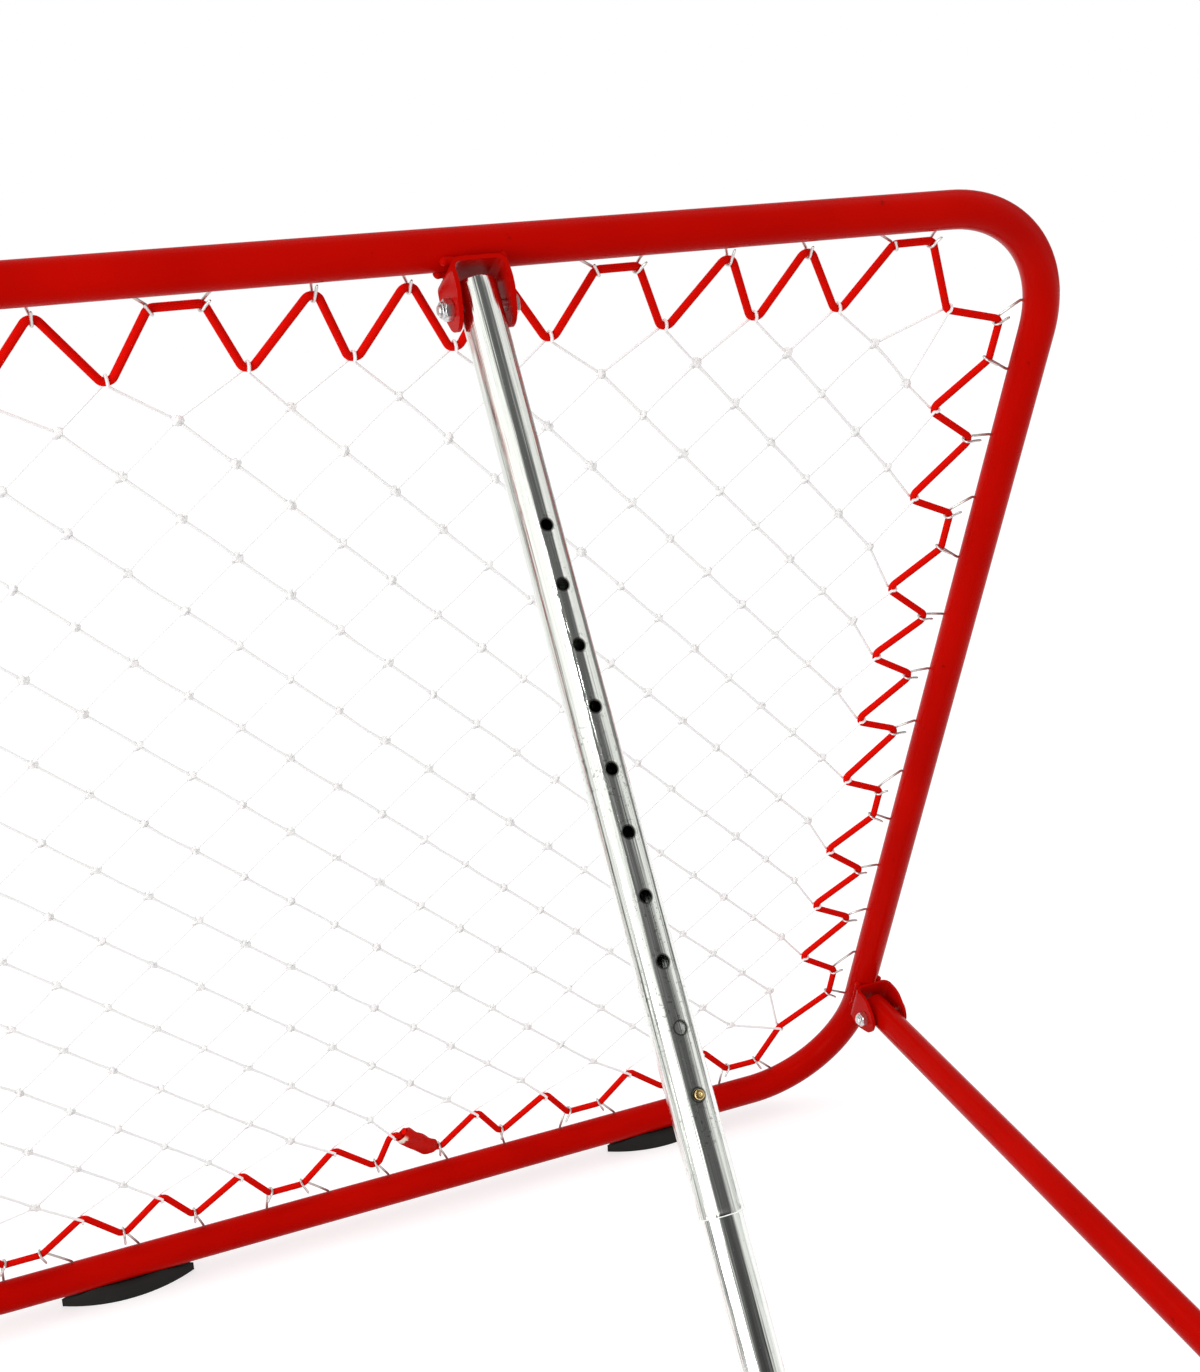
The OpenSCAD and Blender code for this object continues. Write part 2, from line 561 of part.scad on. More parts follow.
// Rubber feet: lens-shaped pads with sloping sides, hollowed on top to take the tube
module foot_pad(tube_d, under) {
    r = (foot_l * foot_l / foot_w + foot_w) / 4;
    difference() {
        intersection() {
            translate([0, foot_w / 2 - r, 0]) cylinder(h = under + foot_up, r1 = r, r2 = r - foot_taper, $fn = 128);
            translate([0, r - foot_w / 2, 0]) cylinder(h = under + foot_up, r1 = r, r2 = r - foot_taper, $fn = 128);
        }
        translate([0, 0, under + tube_d / 2]) rotate([0, 90, 0])
            cylinder(h = 2 * foot_l, d = tube_d + 2 * foot_gap, center = true);
    }
}
module frame_feet() {
    color("#222222") for (s = [-1, 1])
        translate([s * (foot_in + foot_l / 2), bottom_at[0], 0]) foot_pad(frame_d, foot_h);
}
module base_feet() {
    color("#222222") for (s = [-1, 1])
        translate([s * (foot_in + foot_l / 2), rear_at[0], 0]) foot_pad(base_d, foot_h);
}

// Strut: z runs up along it from the top bolt, y is the side with the holes
module cross_hole(z) {
    translate([0, 0, z]) rotate([0, 90, 0]) cylinder(h = 2 * outer_d, d = bolt_d + 2 * bolt_gap, center = true);
}
module strut_outer_tube() {
    length = last_hole + outer_past + tube_past;
    color(zinc) at_strut() difference() {
        translate([0, 0, -last_hole - outer_past]) cylinder(h = length, d = outer_d);
        translate([0, 0, -last_hole - outer_past - eps]) cylinder(h = length + 2 * eps, d = outer_d - 2 * outer_wall);
        cross_hole(0);
        for (i = [0:hole_n - 1]) translate([0, 0, -last_hole + i * hole_pitch])
            rotate([-90, 0, 0]) cylinder(h = outer_d, d = hole_d);
    }
}
module strut_inner_tube() {
    length = strut_len - last_hole + inner_past + tube_past;
    color(zinc) at_strut() difference() {
        translate([0, 0, -strut_len - tube_past]) cylinder(h = length, d = inner_d);
        translate([0, 0, -strut_len - tube_past - eps]) cylinder(h = length + 2 * eps, d = inner_d - 2 * inner_wall);
        cross_hole(-strut_len);
        translate([0, 0, -last_hole]) rotate([-90, 0, 0])
            cylinder(h = outer_d, d = button_d + 2 * button_gap);
    }
}

// Snap button: a round pin on a foot, dished on top, pushed out by a folded leaf spring. Both fit
// the bore of the inner tube.
bore_r = inner_d / 2 - inner_wall;
foot_y = sqrt(pow(bore_r - leaf_gap, 2) - pow(button_foot_d / 2, 2)) - button_foot_t;
module snap_button() {
    top_y = outer_d / 2 + button_up;
    chamfer = 0.8;
    color("goldenrod") at_strut() translate([0, 0, -last_hole]) rotate([-90, 0, 0]) difference() {
        union() {
            translate([0, 0, foot_y]) cylinder(h = button_foot_t, d = button_foot_d);
            translate([0, 0, foot_y]) cylinder(h = top_y - foot_y - chamfer, d = button_d);
            translate([0, 0, top_y - chamfer]) cylinder(h = chamfer, d1 = button_d, d2 = button_d - 2 * chamfer);
        }
        translate([0, 0, top_y + 1]) sphere(d = 3.6);
    }
}
module button_spring() {
    wall_y = sqrt(pow(bore_r - leaf_gap, 2) - pow(leaf_w / 2, 2));
    pad = button_foot_d / 2;
    leaf = [[-pad, foot_y], [pad, foot_y], [leaf_l, leaf_bend], [leaf_l, -leaf_bend], [-pad, -wall_y],
            [-pad, -wall_y + leaf_t], [leaf_l - leaf_t, -leaf_bend + leaf_t / 2],
            [leaf_l - leaf_t, leaf_bend - leaf_t / 2], [pad, foot_y - leaf_t], [-pad, foot_y - leaf_t]];
    color("silver") at_strut() translate([0, 0, -last_hole]) rotate([0, -90, 0])
        translate([0, 0, -leaf_w / 2]) linear_extrude(leaf_w) polygon(leaf);
}

frame_tube();
hooks_top();
hooks_right();
hooks_bottom();
hooks_left();
net();
elastic_cord();
cord_splice();
top_bracket();
side_bracket_right();
side_bracket_left();
top_bolt();
top_nut();
side_bolts();
side_nuts();
frame_feet();
base_tube();
rear_bracket();
base_feet();
rear_bolt();
rear_nut();
strut_outer_tube();
strut_inner_tube();
button_spring();
snap_button();
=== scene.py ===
"""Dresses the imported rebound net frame: its tubes, brackets, net, cord, hooks, strut and feet.

Sizes are in millimetres, and every mesh is turned to metres when it is made. The frame, the base
and the strut each have a local space, as in the part's own source.
"""

from __future__ import annotations

import logging
import math
from dataclasses import dataclass, field
from enum import Enum
from typing import Any, Callable, Sequence

import bmesh
import bpy
import numpy as np
from mathutils import Matrix


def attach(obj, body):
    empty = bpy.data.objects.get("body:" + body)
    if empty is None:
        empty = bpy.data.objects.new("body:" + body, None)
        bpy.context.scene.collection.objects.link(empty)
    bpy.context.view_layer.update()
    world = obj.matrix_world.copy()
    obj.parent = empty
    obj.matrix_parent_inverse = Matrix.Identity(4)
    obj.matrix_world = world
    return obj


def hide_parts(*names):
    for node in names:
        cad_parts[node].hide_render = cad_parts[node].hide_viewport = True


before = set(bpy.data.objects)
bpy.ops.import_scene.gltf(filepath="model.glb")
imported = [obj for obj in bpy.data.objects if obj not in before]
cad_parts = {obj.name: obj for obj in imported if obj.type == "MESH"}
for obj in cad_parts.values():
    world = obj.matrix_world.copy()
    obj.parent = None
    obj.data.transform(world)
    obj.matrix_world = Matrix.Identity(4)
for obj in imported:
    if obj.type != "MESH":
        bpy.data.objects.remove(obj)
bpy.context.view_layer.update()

log = logging.getLogger("rebound_frame")
Array = np.ndarray
MM = 0.001
UP = np.array([0.0, 0.0, 1.0])
SIDES = (-1, 1)


# Small vector helpers


def unit(v: Array) -> Array:
    """Vectors scaled to length one, along the last axis."""
    return v / np.linalg.norm(v, axis=-1, keepdims=True)


def cosd(degrees: float) -> float:
    """Cosine of an angle in degrees."""
    return math.cos(math.radians(degrees))


def sind(degrees: float) -> float:
    """Sine of an angle in degrees."""
    return math.sin(math.radians(degrees))


def turned(p: Array, degrees: float | Array) -> Array:
    """Plane vectors turned anticlockwise.

    Args:
        p: Vectors, shape (..., 2).
        degrees: One angle, or one for each vector.

    Returns:
        The turned vectors.
    """
    a = np.radians(degrees)
    c, s = np.cos(a), np.sin(a)
    return np.stack([p[..., 0] * c - p[..., 1] * s, p[..., 0] * s + p[..., 1] * c], -1)


def flat(p: Array, z: float = 0.0) -> Array:
    """Plane points put at height z."""
    return np.concatenate([p, np.full(p.shape[:-1] + (1,), z)], -1)


def right_of(d: Array) -> Array:
    """Plane vectors turned a quarter clockwise."""
    return np.stack([d[..., 1], -d[..., 0]], -1)


def smooth_step(x: Array, low: float, high: float) -> Array:
    """0 below low, 1 above high, and an S between them."""
    t = np.clip((x - low) / (high - low), 0.0, 1.0)
    return t * t * (3 - 2 * t)


@dataclass(frozen=True)
class Placing:
    """A turn and a shift that carry one space into another."""

    turn: Array
    shift: Array

    @staticmethod
    def of(rotate: Sequence[float] = (0, 0, 0), shift: Sequence[float] = (0, 0, 0)) -> "Placing":
        """A placing that turns about X, then Y, then Z, in degrees, and then shifts."""
        x, y, z = np.radians(rotate)
        rx = np.array([[1, 0, 0], [0, math.cos(x), -math.sin(x)], [0, math.sin(x), math.cos(x)]])
        ry = np.array([[math.cos(y), 0, math.sin(y)], [0, 1, 0], [-math.sin(y), 0, math.cos(y)]])
        rz = np.array([[math.cos(z), -math.sin(z), 0], [math.sin(z), math.cos(z), 0], [0, 0, 1]])
        return Placing(rz @ ry @ rx, np.array(shift, float))

    def __call__(self, points: Array) -> Array:
        """The points carried into the outer space."""
        return points @ self.turn.T + self.shift

    def __matmul__(self, inner: "Placing") -> "Placing":
        """This placing after an inner one."""
        return Placing(self.turn @ inner.turn, self(inner.shift))


# Sizes shared by several pieces, and the linkage that they settle


@dataclass(frozen=True)
class Sizes:
    """The part's driving sizes, as in its own source."""

    frame_size: float = 1000.0
    frame_d: float = 28.6
    frame_wall: float = 1.5
    corner_r: float = 108.0
    wire_d: float = 2.2
    hook_first: float = 98.0
    hook_last: float = 122.0
    hook_drill: float = 30.0
    hook_tip: float = 8.0
    cord_gap: float = 0.35
    cord_d: float = 6.0
    cord_bend: float = 6.0
    net_front: float = 12.0
    hook_in: float = 30.0
    loop_in: float = 71.0
    corner_in: float = 81.0
    splice_l: float = 46.0
    splice_wall: float = 1.3
    lap_gap: float = 0.3
    twine_d: float = 2.6
    knot_d: float = 7.0
    knot_h: float = 4.8
    edge_mesh: float = 33.0
    net_drop: float = 6.5
    plate: float = 3.0
    clevis_w: float = 34.0
    bolt_out: float = 42.6
    cheek_w: float = 38.0
    cheek_end_w: float = 15.0
    cheek_past: float = 15.0
    cheek_r: float = 5.0
    top_slope: float = 37.2
    hinge_h: float = 123.0
    bolt_d: float = 8.0
    hex_af: float = 13.0
    head_h: float = 5.3
    nut_h: float = 8.0
    collar_h: float = 1.8
    bolt_past: float = 1.5
    base_d: float = 26.9
    base_wall: float = 1.5
    base_len: float = 845.0
    base_corner_r: float = 105.0
    tube_past: float = 16.0
    rear_slope: float = 50.3
    slot_play: float = 7.0
    slot_side: float = 0.9
    outer_d: float = 28.6
    outer_wall: float = 1.5
    strut_gap: float = 0.08
    inner_wall: float = 1.5
    strut_len: float = 1001.0
    hole_pitch: float = 40.0
    hole_n: int = 10
    hole_d: float = 8.0
    last_hole: float = 518.0
    outer_past: float = 70.0
    inner_past: float = 56.0
    button_d: float = 6.3
    button_up: float = 1.8
    button_foot_d: float = 9.0
    button_foot_t: float = 1.0
    leaf_t: float = 0.8
    leaf_w: float = 6.0
    leaf_l: float = 46.0
    leaf_bend: float = 2.5
    leaf_gap: float = 0.12
    foot_l: float = 120.0
    foot_w: float = 34.0
    foot_h: float = 12.0
    foot_up: float = 5.0
    foot_in: float = 212.0

    @property
    def half(self) -> float:
        """Half the distance between opposite tubes of the square."""
        return (self.frame_size - self.frame_d) / 2

    @property
    def inner_d(self) -> float:
        """Outside diameter of the strut's inner tube."""
        return self.outer_d - 2 * self.outer_wall - 2 * self.strut_gap


@dataclass(frozen=True)
class Linkage:
    """Where the square, the base and the strut stand, worked out from their lengths."""

    size: Sizes

    def solve(self) -> dict[str, Any]:
        """Settles the linkage as it stands on its feet.

        Returns:
            The lean, the base's slope and the strut's tilt in degrees, and the places of the
            bottom tube, the hinge, the top bolt and the rear tube as (y, z).
        """
        s = self.size
        top_pin = np.array([s.bolt_out * cosd(s.top_slope), 2 * s.half - s.bolt_out * sind(s.top_slope)])
        hinge_pin = np.array([s.bolt_out, s.hinge_h])
        rear_pin = np.array([s.base_len - s.bolt_out * cosd(s.rear_slope), s.bolt_out * sind(s.rear_slope)])
        to_top = top_pin - hinge_pin
        a, b = np.linalg.norm(to_top), np.linalg.norm(rear_pin)
        knee = math.degrees(math.acos((a * a + b * b - s.strut_len**2) / (2 * a * b)))
        up_slope, down_slope = (math.degrees(math.atan2(p[1], p[0])) for p in (to_top, rear_pin))
        arm_slope = up_slope - knee - down_slope
        rise = s.hinge_h + s.base_len * sind(arm_slope)
        run = s.bolt_out + s.base_len * cosd(arm_slope)
        lower = (s.base_d - s.frame_d) / 2
        lean = math.degrees(math.acos(lower / math.hypot(rise, run)) - math.atan2(run, rise))
        slope = lean - arm_slope
        reach = turned(np.array([s.base_len, 0.0]), -slope)
        depth = turned(hinge_pin, -lean)[0] + reach[0] + lower
        bottom = np.array([-depth / 2, s.frame_d / 2 + s.foot_h])
        hinge = bottom + turned(hinge_pin, -lean)
        top = bottom + turned(top_pin, -lean)
        pin = hinge + turned(rear_pin, -slope)
        tilt = math.degrees(math.atan2(pin[0] - top[0], top[1] - pin[1]))
        rear = hinge + reach
        return dict(lean=lean, slope=slope, tilt=tilt, bottom=bottom, hinge=hinge, top=top, rear=rear)


SIZE = Sizes()
STAND = Linkage(SIZE).solve()
SQUARE = Placing.of((-STAND["lean"], 0, 0), (0, *STAND["bottom"]))
BASE = Placing.of((-STAND["slope"], 0, 0), (0, *STAND["hinge"]))
STRUT = Placing.of((STAND["tilt"], 0, 0), (0, *STAND["top"]))
NET = SQUARE @ Placing.of((90, 0, 0), (0, -SIZE.net_front, SIZE.half))


class Body(Enum):
    """The moving bodies of the part."""

    BASE = "base"
    SQUARE = "net_frame"
    STRUT_OUTER = "strut_outer"
    STRUT_INNER = "strut_inner"
    BUTTON = "button"


# Meshes


@dataclass
class Patch:
    """A piece of surface: points, and groups of faces with the same number of corners.

    Attributes:
        points: Points in millimetres, shape (n, 3).
        faces: Corner numbers, one array of shape (k, corners) for each group.
        marks: Surface coordinates of the corners, one array (k, corners, 2) for each group.
    """

    points: Array
    faces: list[Array]
    marks: list[Array]

    def placed(self, place: Placing) -> "Patch":
        """The same patch in an outer space."""
        return Patch(place(self.points), self.faces, self.marks)

    def flipped(self) -> "Patch":
        """The same patch with its faces turned the other way."""
        return Patch(self.points, [f[:, ::-1] for f in self.faces], [m[:, ::-1] for m in self.marks])


def joined(patches: Sequence[Patch]) -> Patch:
    """Several patches as one."""
    starts = np.cumsum([0] + [len(p.points) for p in patches])
    return Patch(
        np.concatenate([p.points for p in patches]),
        [f + s for p, s in zip(patches, starts) for f in p.faces],
        [m for p in patches for m in p.marks],
    )


def grid_faces(n: int, m: int, close_n: bool, close_m: bool) -> tuple[Array, Array, Array]:
    """Corners of the quads of an n by m grid of points, stored row by row.

    Args:
        n: Rows of points.
        m: Points in a row.
        close_n: Whether the last row joins the first.
        close_m: Whether a row's last point joins its first.

    Returns:
        The corners (k, 4), and their row and column numbers before they wrap, (k, 4) each.
    """
    i, j = np.meshgrid(np.arange(n - (not close_n)), np.arange(m - (not close_m)), indexing="ij")
    rows = np.stack([i, i + 1, i + 1, i], -1).reshape(-1, 4)
    columns = np.stack([j, j, j + 1, j + 1], -1).reshape(-1, 4)
    return (rows % n) * m + columns % m, rows, columns


def tubes(
    paths: Array,
    radius: float | Array,
    across: Array,
    sides: int = 8,
    closed: bool = False,
    caps: bool = True,
) -> Patch:
    """Round bars along many paths at once: a ring of points stands square to each path point.

    A ring is path + radius * (cos a * n + sin a * b), where n = tangent x across and
    b = tangent x n, so across may never run along the path.

    Args:
        paths: Path points, shape (k, n, 3).
        radius: One radius, or one for each path point, (n,) or (k, n).
        across: Directions that lie across the paths, (3,), (k, 3) or (k, n, 3).
        sides: Points in a ring.
        closed: Whether each path's end joins its start.
        caps: Whether open ends get a face.

    Returns:
        The bars as one patch. The marks are the turn round the bar and the millimetres along it.
    """
    k, n = paths.shape[:2]
    if closed:
        steps = np.roll(paths, -1, 1) - paths
        tangent = unit(unit(steps) + unit(np.roll(steps, 1, 1)))
    else:
        steps = np.diff(paths, axis=1)
        ends = unit(steps)
        tangent = np.concatenate([ends[:, :1], unit(ends[:, 1:] + ends[:, :-1]), ends[:, -1:]], 1)
    lengths = np.concatenate([np.zeros((k, 1)), np.cumsum(np.linalg.norm(steps, axis=-1), 1)], 1)
    if across.ndim == 1:
        across = across[None, None]
    elif across.ndim == 2:
        across = across[:, None]
    normal = unit(np.cross(tangent, np.broadcast_to(across, tangent.shape)))
    binormal = np.cross(tangent, normal)
    a = np.arange(sides) * 2 * np.pi / sides
    r = np.broadcast_to(np.asarray(radius, float), (k, n))[..., None, None]
    rings = paths[:, :, None] + r * (
        np.cos(a)[:, None] * normal[:, :, None] + np.sin(a)[:, None] * binormal[:, :, None]
    )
    quads, rows, columns = grid_faces(n, sides, closed, True)
    offset = np.arange(k)[:, None, None] * n * sides
    faces = [(quads[None] + offset).reshape(-1, 4)]
    along = lengths[:, rows]
    round_ = np.broadcast_to(columns / sides, along.shape)
    marks = [np.stack([round_, along], -1).reshape(-1, 4, 2)]
    if caps and not closed:
        first = np.arange(sides)[None] + offset[:, 0]
        last = first + (n - 1) * sides
        faces += [first, last[:, ::-1]]
        marks += [np.zeros(first.shape + (2,)), np.zeros(first.shape + (2,))]
    return Patch(rings.reshape(-1, 3), faces, marks).flipped()


def turned_rings(radius: Array, z: Array, sides: int) -> Patch:
    """Rings about Z: (r cos a, r sin a, z).

    Args:
        radius: A radius for each ring, (n, 1), or for each of its points, (n, sides).
        z: The rings' heights, (n,).
        sides: Points in a ring.

    Returns:
        The surface. The marks are the turn and the height.
    """
    a = np.arange(sides) * 2 * np.pi / sides
    r = np.broadcast_to(radius, (len(z), sides))
    points = np.stack([r * np.cos(a), r * np.sin(a), np.broadcast_to(z[:, None], r.shape)], -1)
    quads, rows, columns = grid_faces(len(z), sides, False, True)
    marks = np.stack([columns / sides, z[rows]], -1)
    return Patch(points.reshape(-1, 3), [quads], [marks]).flipped()


def ring_wall(outer: Patch, inner: Patch, rows: int, sides: int) -> Patch:
    """Two skins of rings that face outwards, made into one wall with closed ends."""
    wall = joined([outer, inner.flipped()])
    a = np.arange(sides)
    b = np.roll(a, -1)
    deep, far = rows * sides, (rows - 1) * sides
    ends = [
        np.stack([a + deep, b + deep, b, a], -1),
        np.stack([b, b + deep, a + deep, a], -1) + far,
    ]
    wall.faces.append(np.concatenate(ends))
    wall.marks.append(np.zeros((2 * sides, 4, 2)))
    return wall


def arc(start: float, end: float, steps: int) -> Array:
    """Evenly spaced angles in radians, given in degrees."""
    return np.radians(np.linspace(start, end, steps + 1))


def add_piece(
    name: str,
    patches: Sequence[Patch],
    body: Body,
    finish: "Finish",
    replaces: Sequence[str],
    sharp: float = 40.0,
    merge: float = 0.01,
) -> bpy.types.Object:
    """Makes one object from patches, in metres, and joins it to its body.

    Args:
        name: The object's name.
        patches: Its surface in the part's own space, in millimetres.
        body: The body that it rides on.
        finish: Its material, which knows the record's material slot.
        replaces: The solids that it stands for.
        sharp: Edges that bend by more degrees than this stay sharp.
        merge: Points closer than this many millimetres become one.

    Returns:
        The new object.
    """
    whole = joined(patches)
    corners = np.concatenate([f.ravel() for f in whole.faces])
    counts = np.concatenate([np.full(len(f), f.shape[1]) for f in whole.faces])
    mesh = bpy.data.meshes.new(name)
    mesh.vertices.add(len(whole.points))
    mesh.vertices.foreach_set("co", (whole.points * MM).astype(np.float32).ravel())
    mesh.loops.add(len(corners))
    mesh.loops.foreach_set("vertex_index", corners.astype(np.int32))
    mesh.polygons.add(len(counts))
    mesh.polygons.foreach_set("loop_start", (np.cumsum(counts) - counts).astype(np.int32))
    mesh.update(calc_edges=True)
    uv = mesh.uv_layers.new(name="surface")
    marks = np.concatenate([m.reshape(-1, 2) for m in whole.marks])
    uv.data.foreach_set("uv", marks.astype(np.float32).ravel())
    mesh.validate()
    if merge:
        weld(mesh, merge * MM)
    mesh.polygons.foreach_set("use_smooth", np.ones(len(mesh.polygons), bool))
    mesh.set_sharp_from_angle(angle=math.radians(sharp))
    mesh.materials.append(finish.material)
    piece = bpy.data.objects.new(name, mesh)
    bpy.context.scene.collection.objects.link(piece)
    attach(piece, body.value)
    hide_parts(*replaces)
    log.info("%s: %d points, %d faces, on %s", name, len(mesh.vertices), len(mesh.polygons), body.value)
    return piece


def weld(mesh: bpy.types.Mesh, distance: float) -> None:
    """Makes points that lie together one point, and closes the seams that they leave."""
    work = bmesh.new()
    work.from_mesh(mesh)
    bmesh.ops.remove_doubles(work, verts=work.verts, dist=distance)
    work.to_mesh(mesh)
    work.free()


# Walls with holes: a grid of surface coordinates in which windows are opened


@dataclass(frozen=True)
class Window:
    """A hole in a grid: it takes the cells between four grid lines.

    Attributes:
        rows: First and last grid row of the window.
        columns: First and last grid column of the window.
        rim: Gives the hole's edge in surface coordinates for directions in radians.
        centre: The hole's middle in surface coordinates.
    """

    rows: tuple[int, int]
    columns: tuple[int, int]
    rim: Callable[[Array], Array]
    centre: tuple[float, float]


def pierced(
    u: Array, v: Array, windows: Sequence[Window], close_v: bool, rings: int = 3
) -> tuple[Array, Array, list[Array]]:
    """A grid over (u, v) with windows, each filled from its edge down to the hole's rim.

    Args:
        u: Row coordinates.
        v: Column coordinates.
        windows: The holes.
        close_v: Whether the last column joins the first.
        rings: Rings of faces between a window's edge and the rim.

    Returns:
        The surface coordinates (n, 2), the quads (k, 4), and each rim's point numbers.
    """
    n, m = len(u), len(v)
    points = [np.stack(np.meshgrid(u, v, indexing="ij"), -1).reshape(-1, 2)]
    quads, rows, columns = grid_faces(n, m, False, close_v)
    keep = np.ones(len(quads), bool)
    faces = []
    rims = []
    count = n * m
    for w in windows:
        (i0, i1), (j0, j1) = w.rows, w.columns
        row, column = rows[:, 0], columns[:, 0]
        keep &= (row < i0) | (row >= i1) | (column < j0) | (column >= j1)
        down, over = np.arange(i0, i1), np.arange(j0, j1)
        edge_i = np.concatenate([down, over * 0 + i1, down[::-1] + 1, over * 0 + i0])
        edge_j = np.concatenate([down * 0 + j0, over, down * 0 + j1, over[::-1] + 1])
        edge = np.stack([u[edge_i], v[edge_j]], -1)
        away = edge - np.array(w.centre)
        rim = w.rim(np.arctan2(away[:, 1], away[:, 0]))
        t = np.linspace(0, 1, rings + 1)[1:, None, None]
        points.append((edge + (rim - edge) * t).reshape(-1, 2))
        size = len(edge)
        added = count + np.arange(rings * size).reshape(rings, size)
        ids = np.concatenate([(edge_i * m + edge_j)[None], added])
        nxt = np.roll(ids, -1, 1)
        faces.append(np.stack([ids[:-1], nxt[:-1], nxt[1:], ids[1:]], -1).reshape(-1, 4))
        rims.append(ids[-1])
        count += rings * size
    return np.concatenate(points), np.concatenate([quads[keep]] + faces), rims


def shell(
    u: Array,
    v: Array,
    windows: Callable[[int], Sequence[Window]],
    close_v: bool,
    skin: Callable[[Array, int], Array],
) -> Patch:
    """A wall of two skins over the same grid, closed along its ends, its edges and its holes.

    Args:
        u: Row coordinates.
        v: Column coordinates.
        windows: Gives the holes of the outer (0) and the inner (1) skin.
        close_v: Whether the wall closes on itself across its rows.
        skin: Carries surface coordinates onto the outer (0) or inner (1) skin.

    Returns:
        The closed wall. The marks are the surface coordinates.
    """
    patches = []
    n, m = len(u), len(v)
    rims: list[list[Array]] = []
    for side in (0, 1):
        coords, quads, edge = pierced(u, v, windows(side), close_v)
        patch = Patch(skin(coords, side), [quads], [coords[quads]])
        patches.append(patch if side == 0 else patch.flipped())
        rims.append(edge)
    first = len(patches[0].points)
    strips = []

    def strip(a: Array, b: Array, loop: bool) -> None:
        """Joins two rows of point numbers by a strip of faces."""
        a2, b2 = (np.roll(a, -1), np.roll(b, -1)) if loop else (a[1:], b[1:])
        a1, b1 = (a, b) if loop else (a[:-1], b[:-1])
        strips.append(np.stack([a1, b1, b2, a2], -1))

    for a, b in zip(*rims):
        strip(a, b + first, True)
    row = np.arange(m)
    strip(row, row + first, close_v)
    strip((row + (n - 1) * m)[::-1], (row + (n - 1) * m)[::-1] + first, close_v)
    if not close_v:
        column = np.arange(n) * m
        strip(column[::-1], column[::-1] + first, False)
        strip(column + m - 1, column + m - 1 + first, False)
    both = joined(patches)
    faces = np.concatenate(strips)
    both.faces.append(faces)
    both.marks.append(np.zeros(faces.shape + (2,)))
    return both


# Shader nodes written as expressions


class Field:
    """A value in a node tree, with arithmetic that adds the nodes for it."""

    def __init__(self, shading: "Shading", socket: bpy.types.NodeSocket) -> None:
        """Wraps a socket of a shading's tree."""
        self.shading = shading
        self.socket = socket

    def _math(self, operation: str, *values: Any) -> "Field":
        """Adds one Math node."""
        return self.shading.node("ShaderNodeMath", {"operation": operation}, dict(enumerate(values)))

    def __add__(self, other: Any) -> "Field":
        """Sum."""
        return self._math("ADD", self, other)

    __radd__ = __add__

    def __sub__(self, other: Any) -> "Field":
        """Difference."""
        return self._math("SUBTRACT", self, other)

    def __rsub__(self, other: Any) -> "Field":
        """Difference from a number."""
        return self._math("SUBTRACT", other, self)

    def __mul__(self, other: Any) -> "Field":
        """Product."""
        return self._math("MULTIPLY", self, other)

    __rmul__ = __mul__

    def __truediv__(self, other: Any) -> "Field":
        """Quotient."""
        return self._math("DIVIDE", self, other)

    def __rtruediv__(self, other: Any) -> "Field":
        """Quotient of a number."""
        return self._math("DIVIDE", other, self)

    def power(self, exponent: float) -> "Field":
        """This value raised to a power."""
        return self._math("POWER", self, exponent)

    def sine(self) -> "Field":
        """Sine of this value in radians."""
        return self._math("SINE", self)

    def absolute(self) -> "Field":
        """This value without its sign."""
        return self._math("ABSOLUTE", self)

    def fraction(self) -> "Field":
        """What is left over a whole number."""
        return self._math("FRACT", self)

    def high(self, other: Any) -> "Field":
        """The higher of two values."""
        return self._math("MAXIMUM", self, other)

    def between(self, low: float, high: float, to_low: float = 0.0, to_high: float = 1.0) -> "Field":
        """An S curve from to_low at low to to_high at high.

        Args:
            low: Where the curve starts.
            high: Where it ends.
            to_low: Its value at and below low.
            to_high: Its value at and above high.

        Returns:
            The mapped value.
        """
        return self.shading.node(
            "ShaderNodeMapRange",
            {"interpolation_type": "SMOOTHSTEP"},
            {0: self, 1: low, 2: high, 3: to_low, 4: to_high},
        )


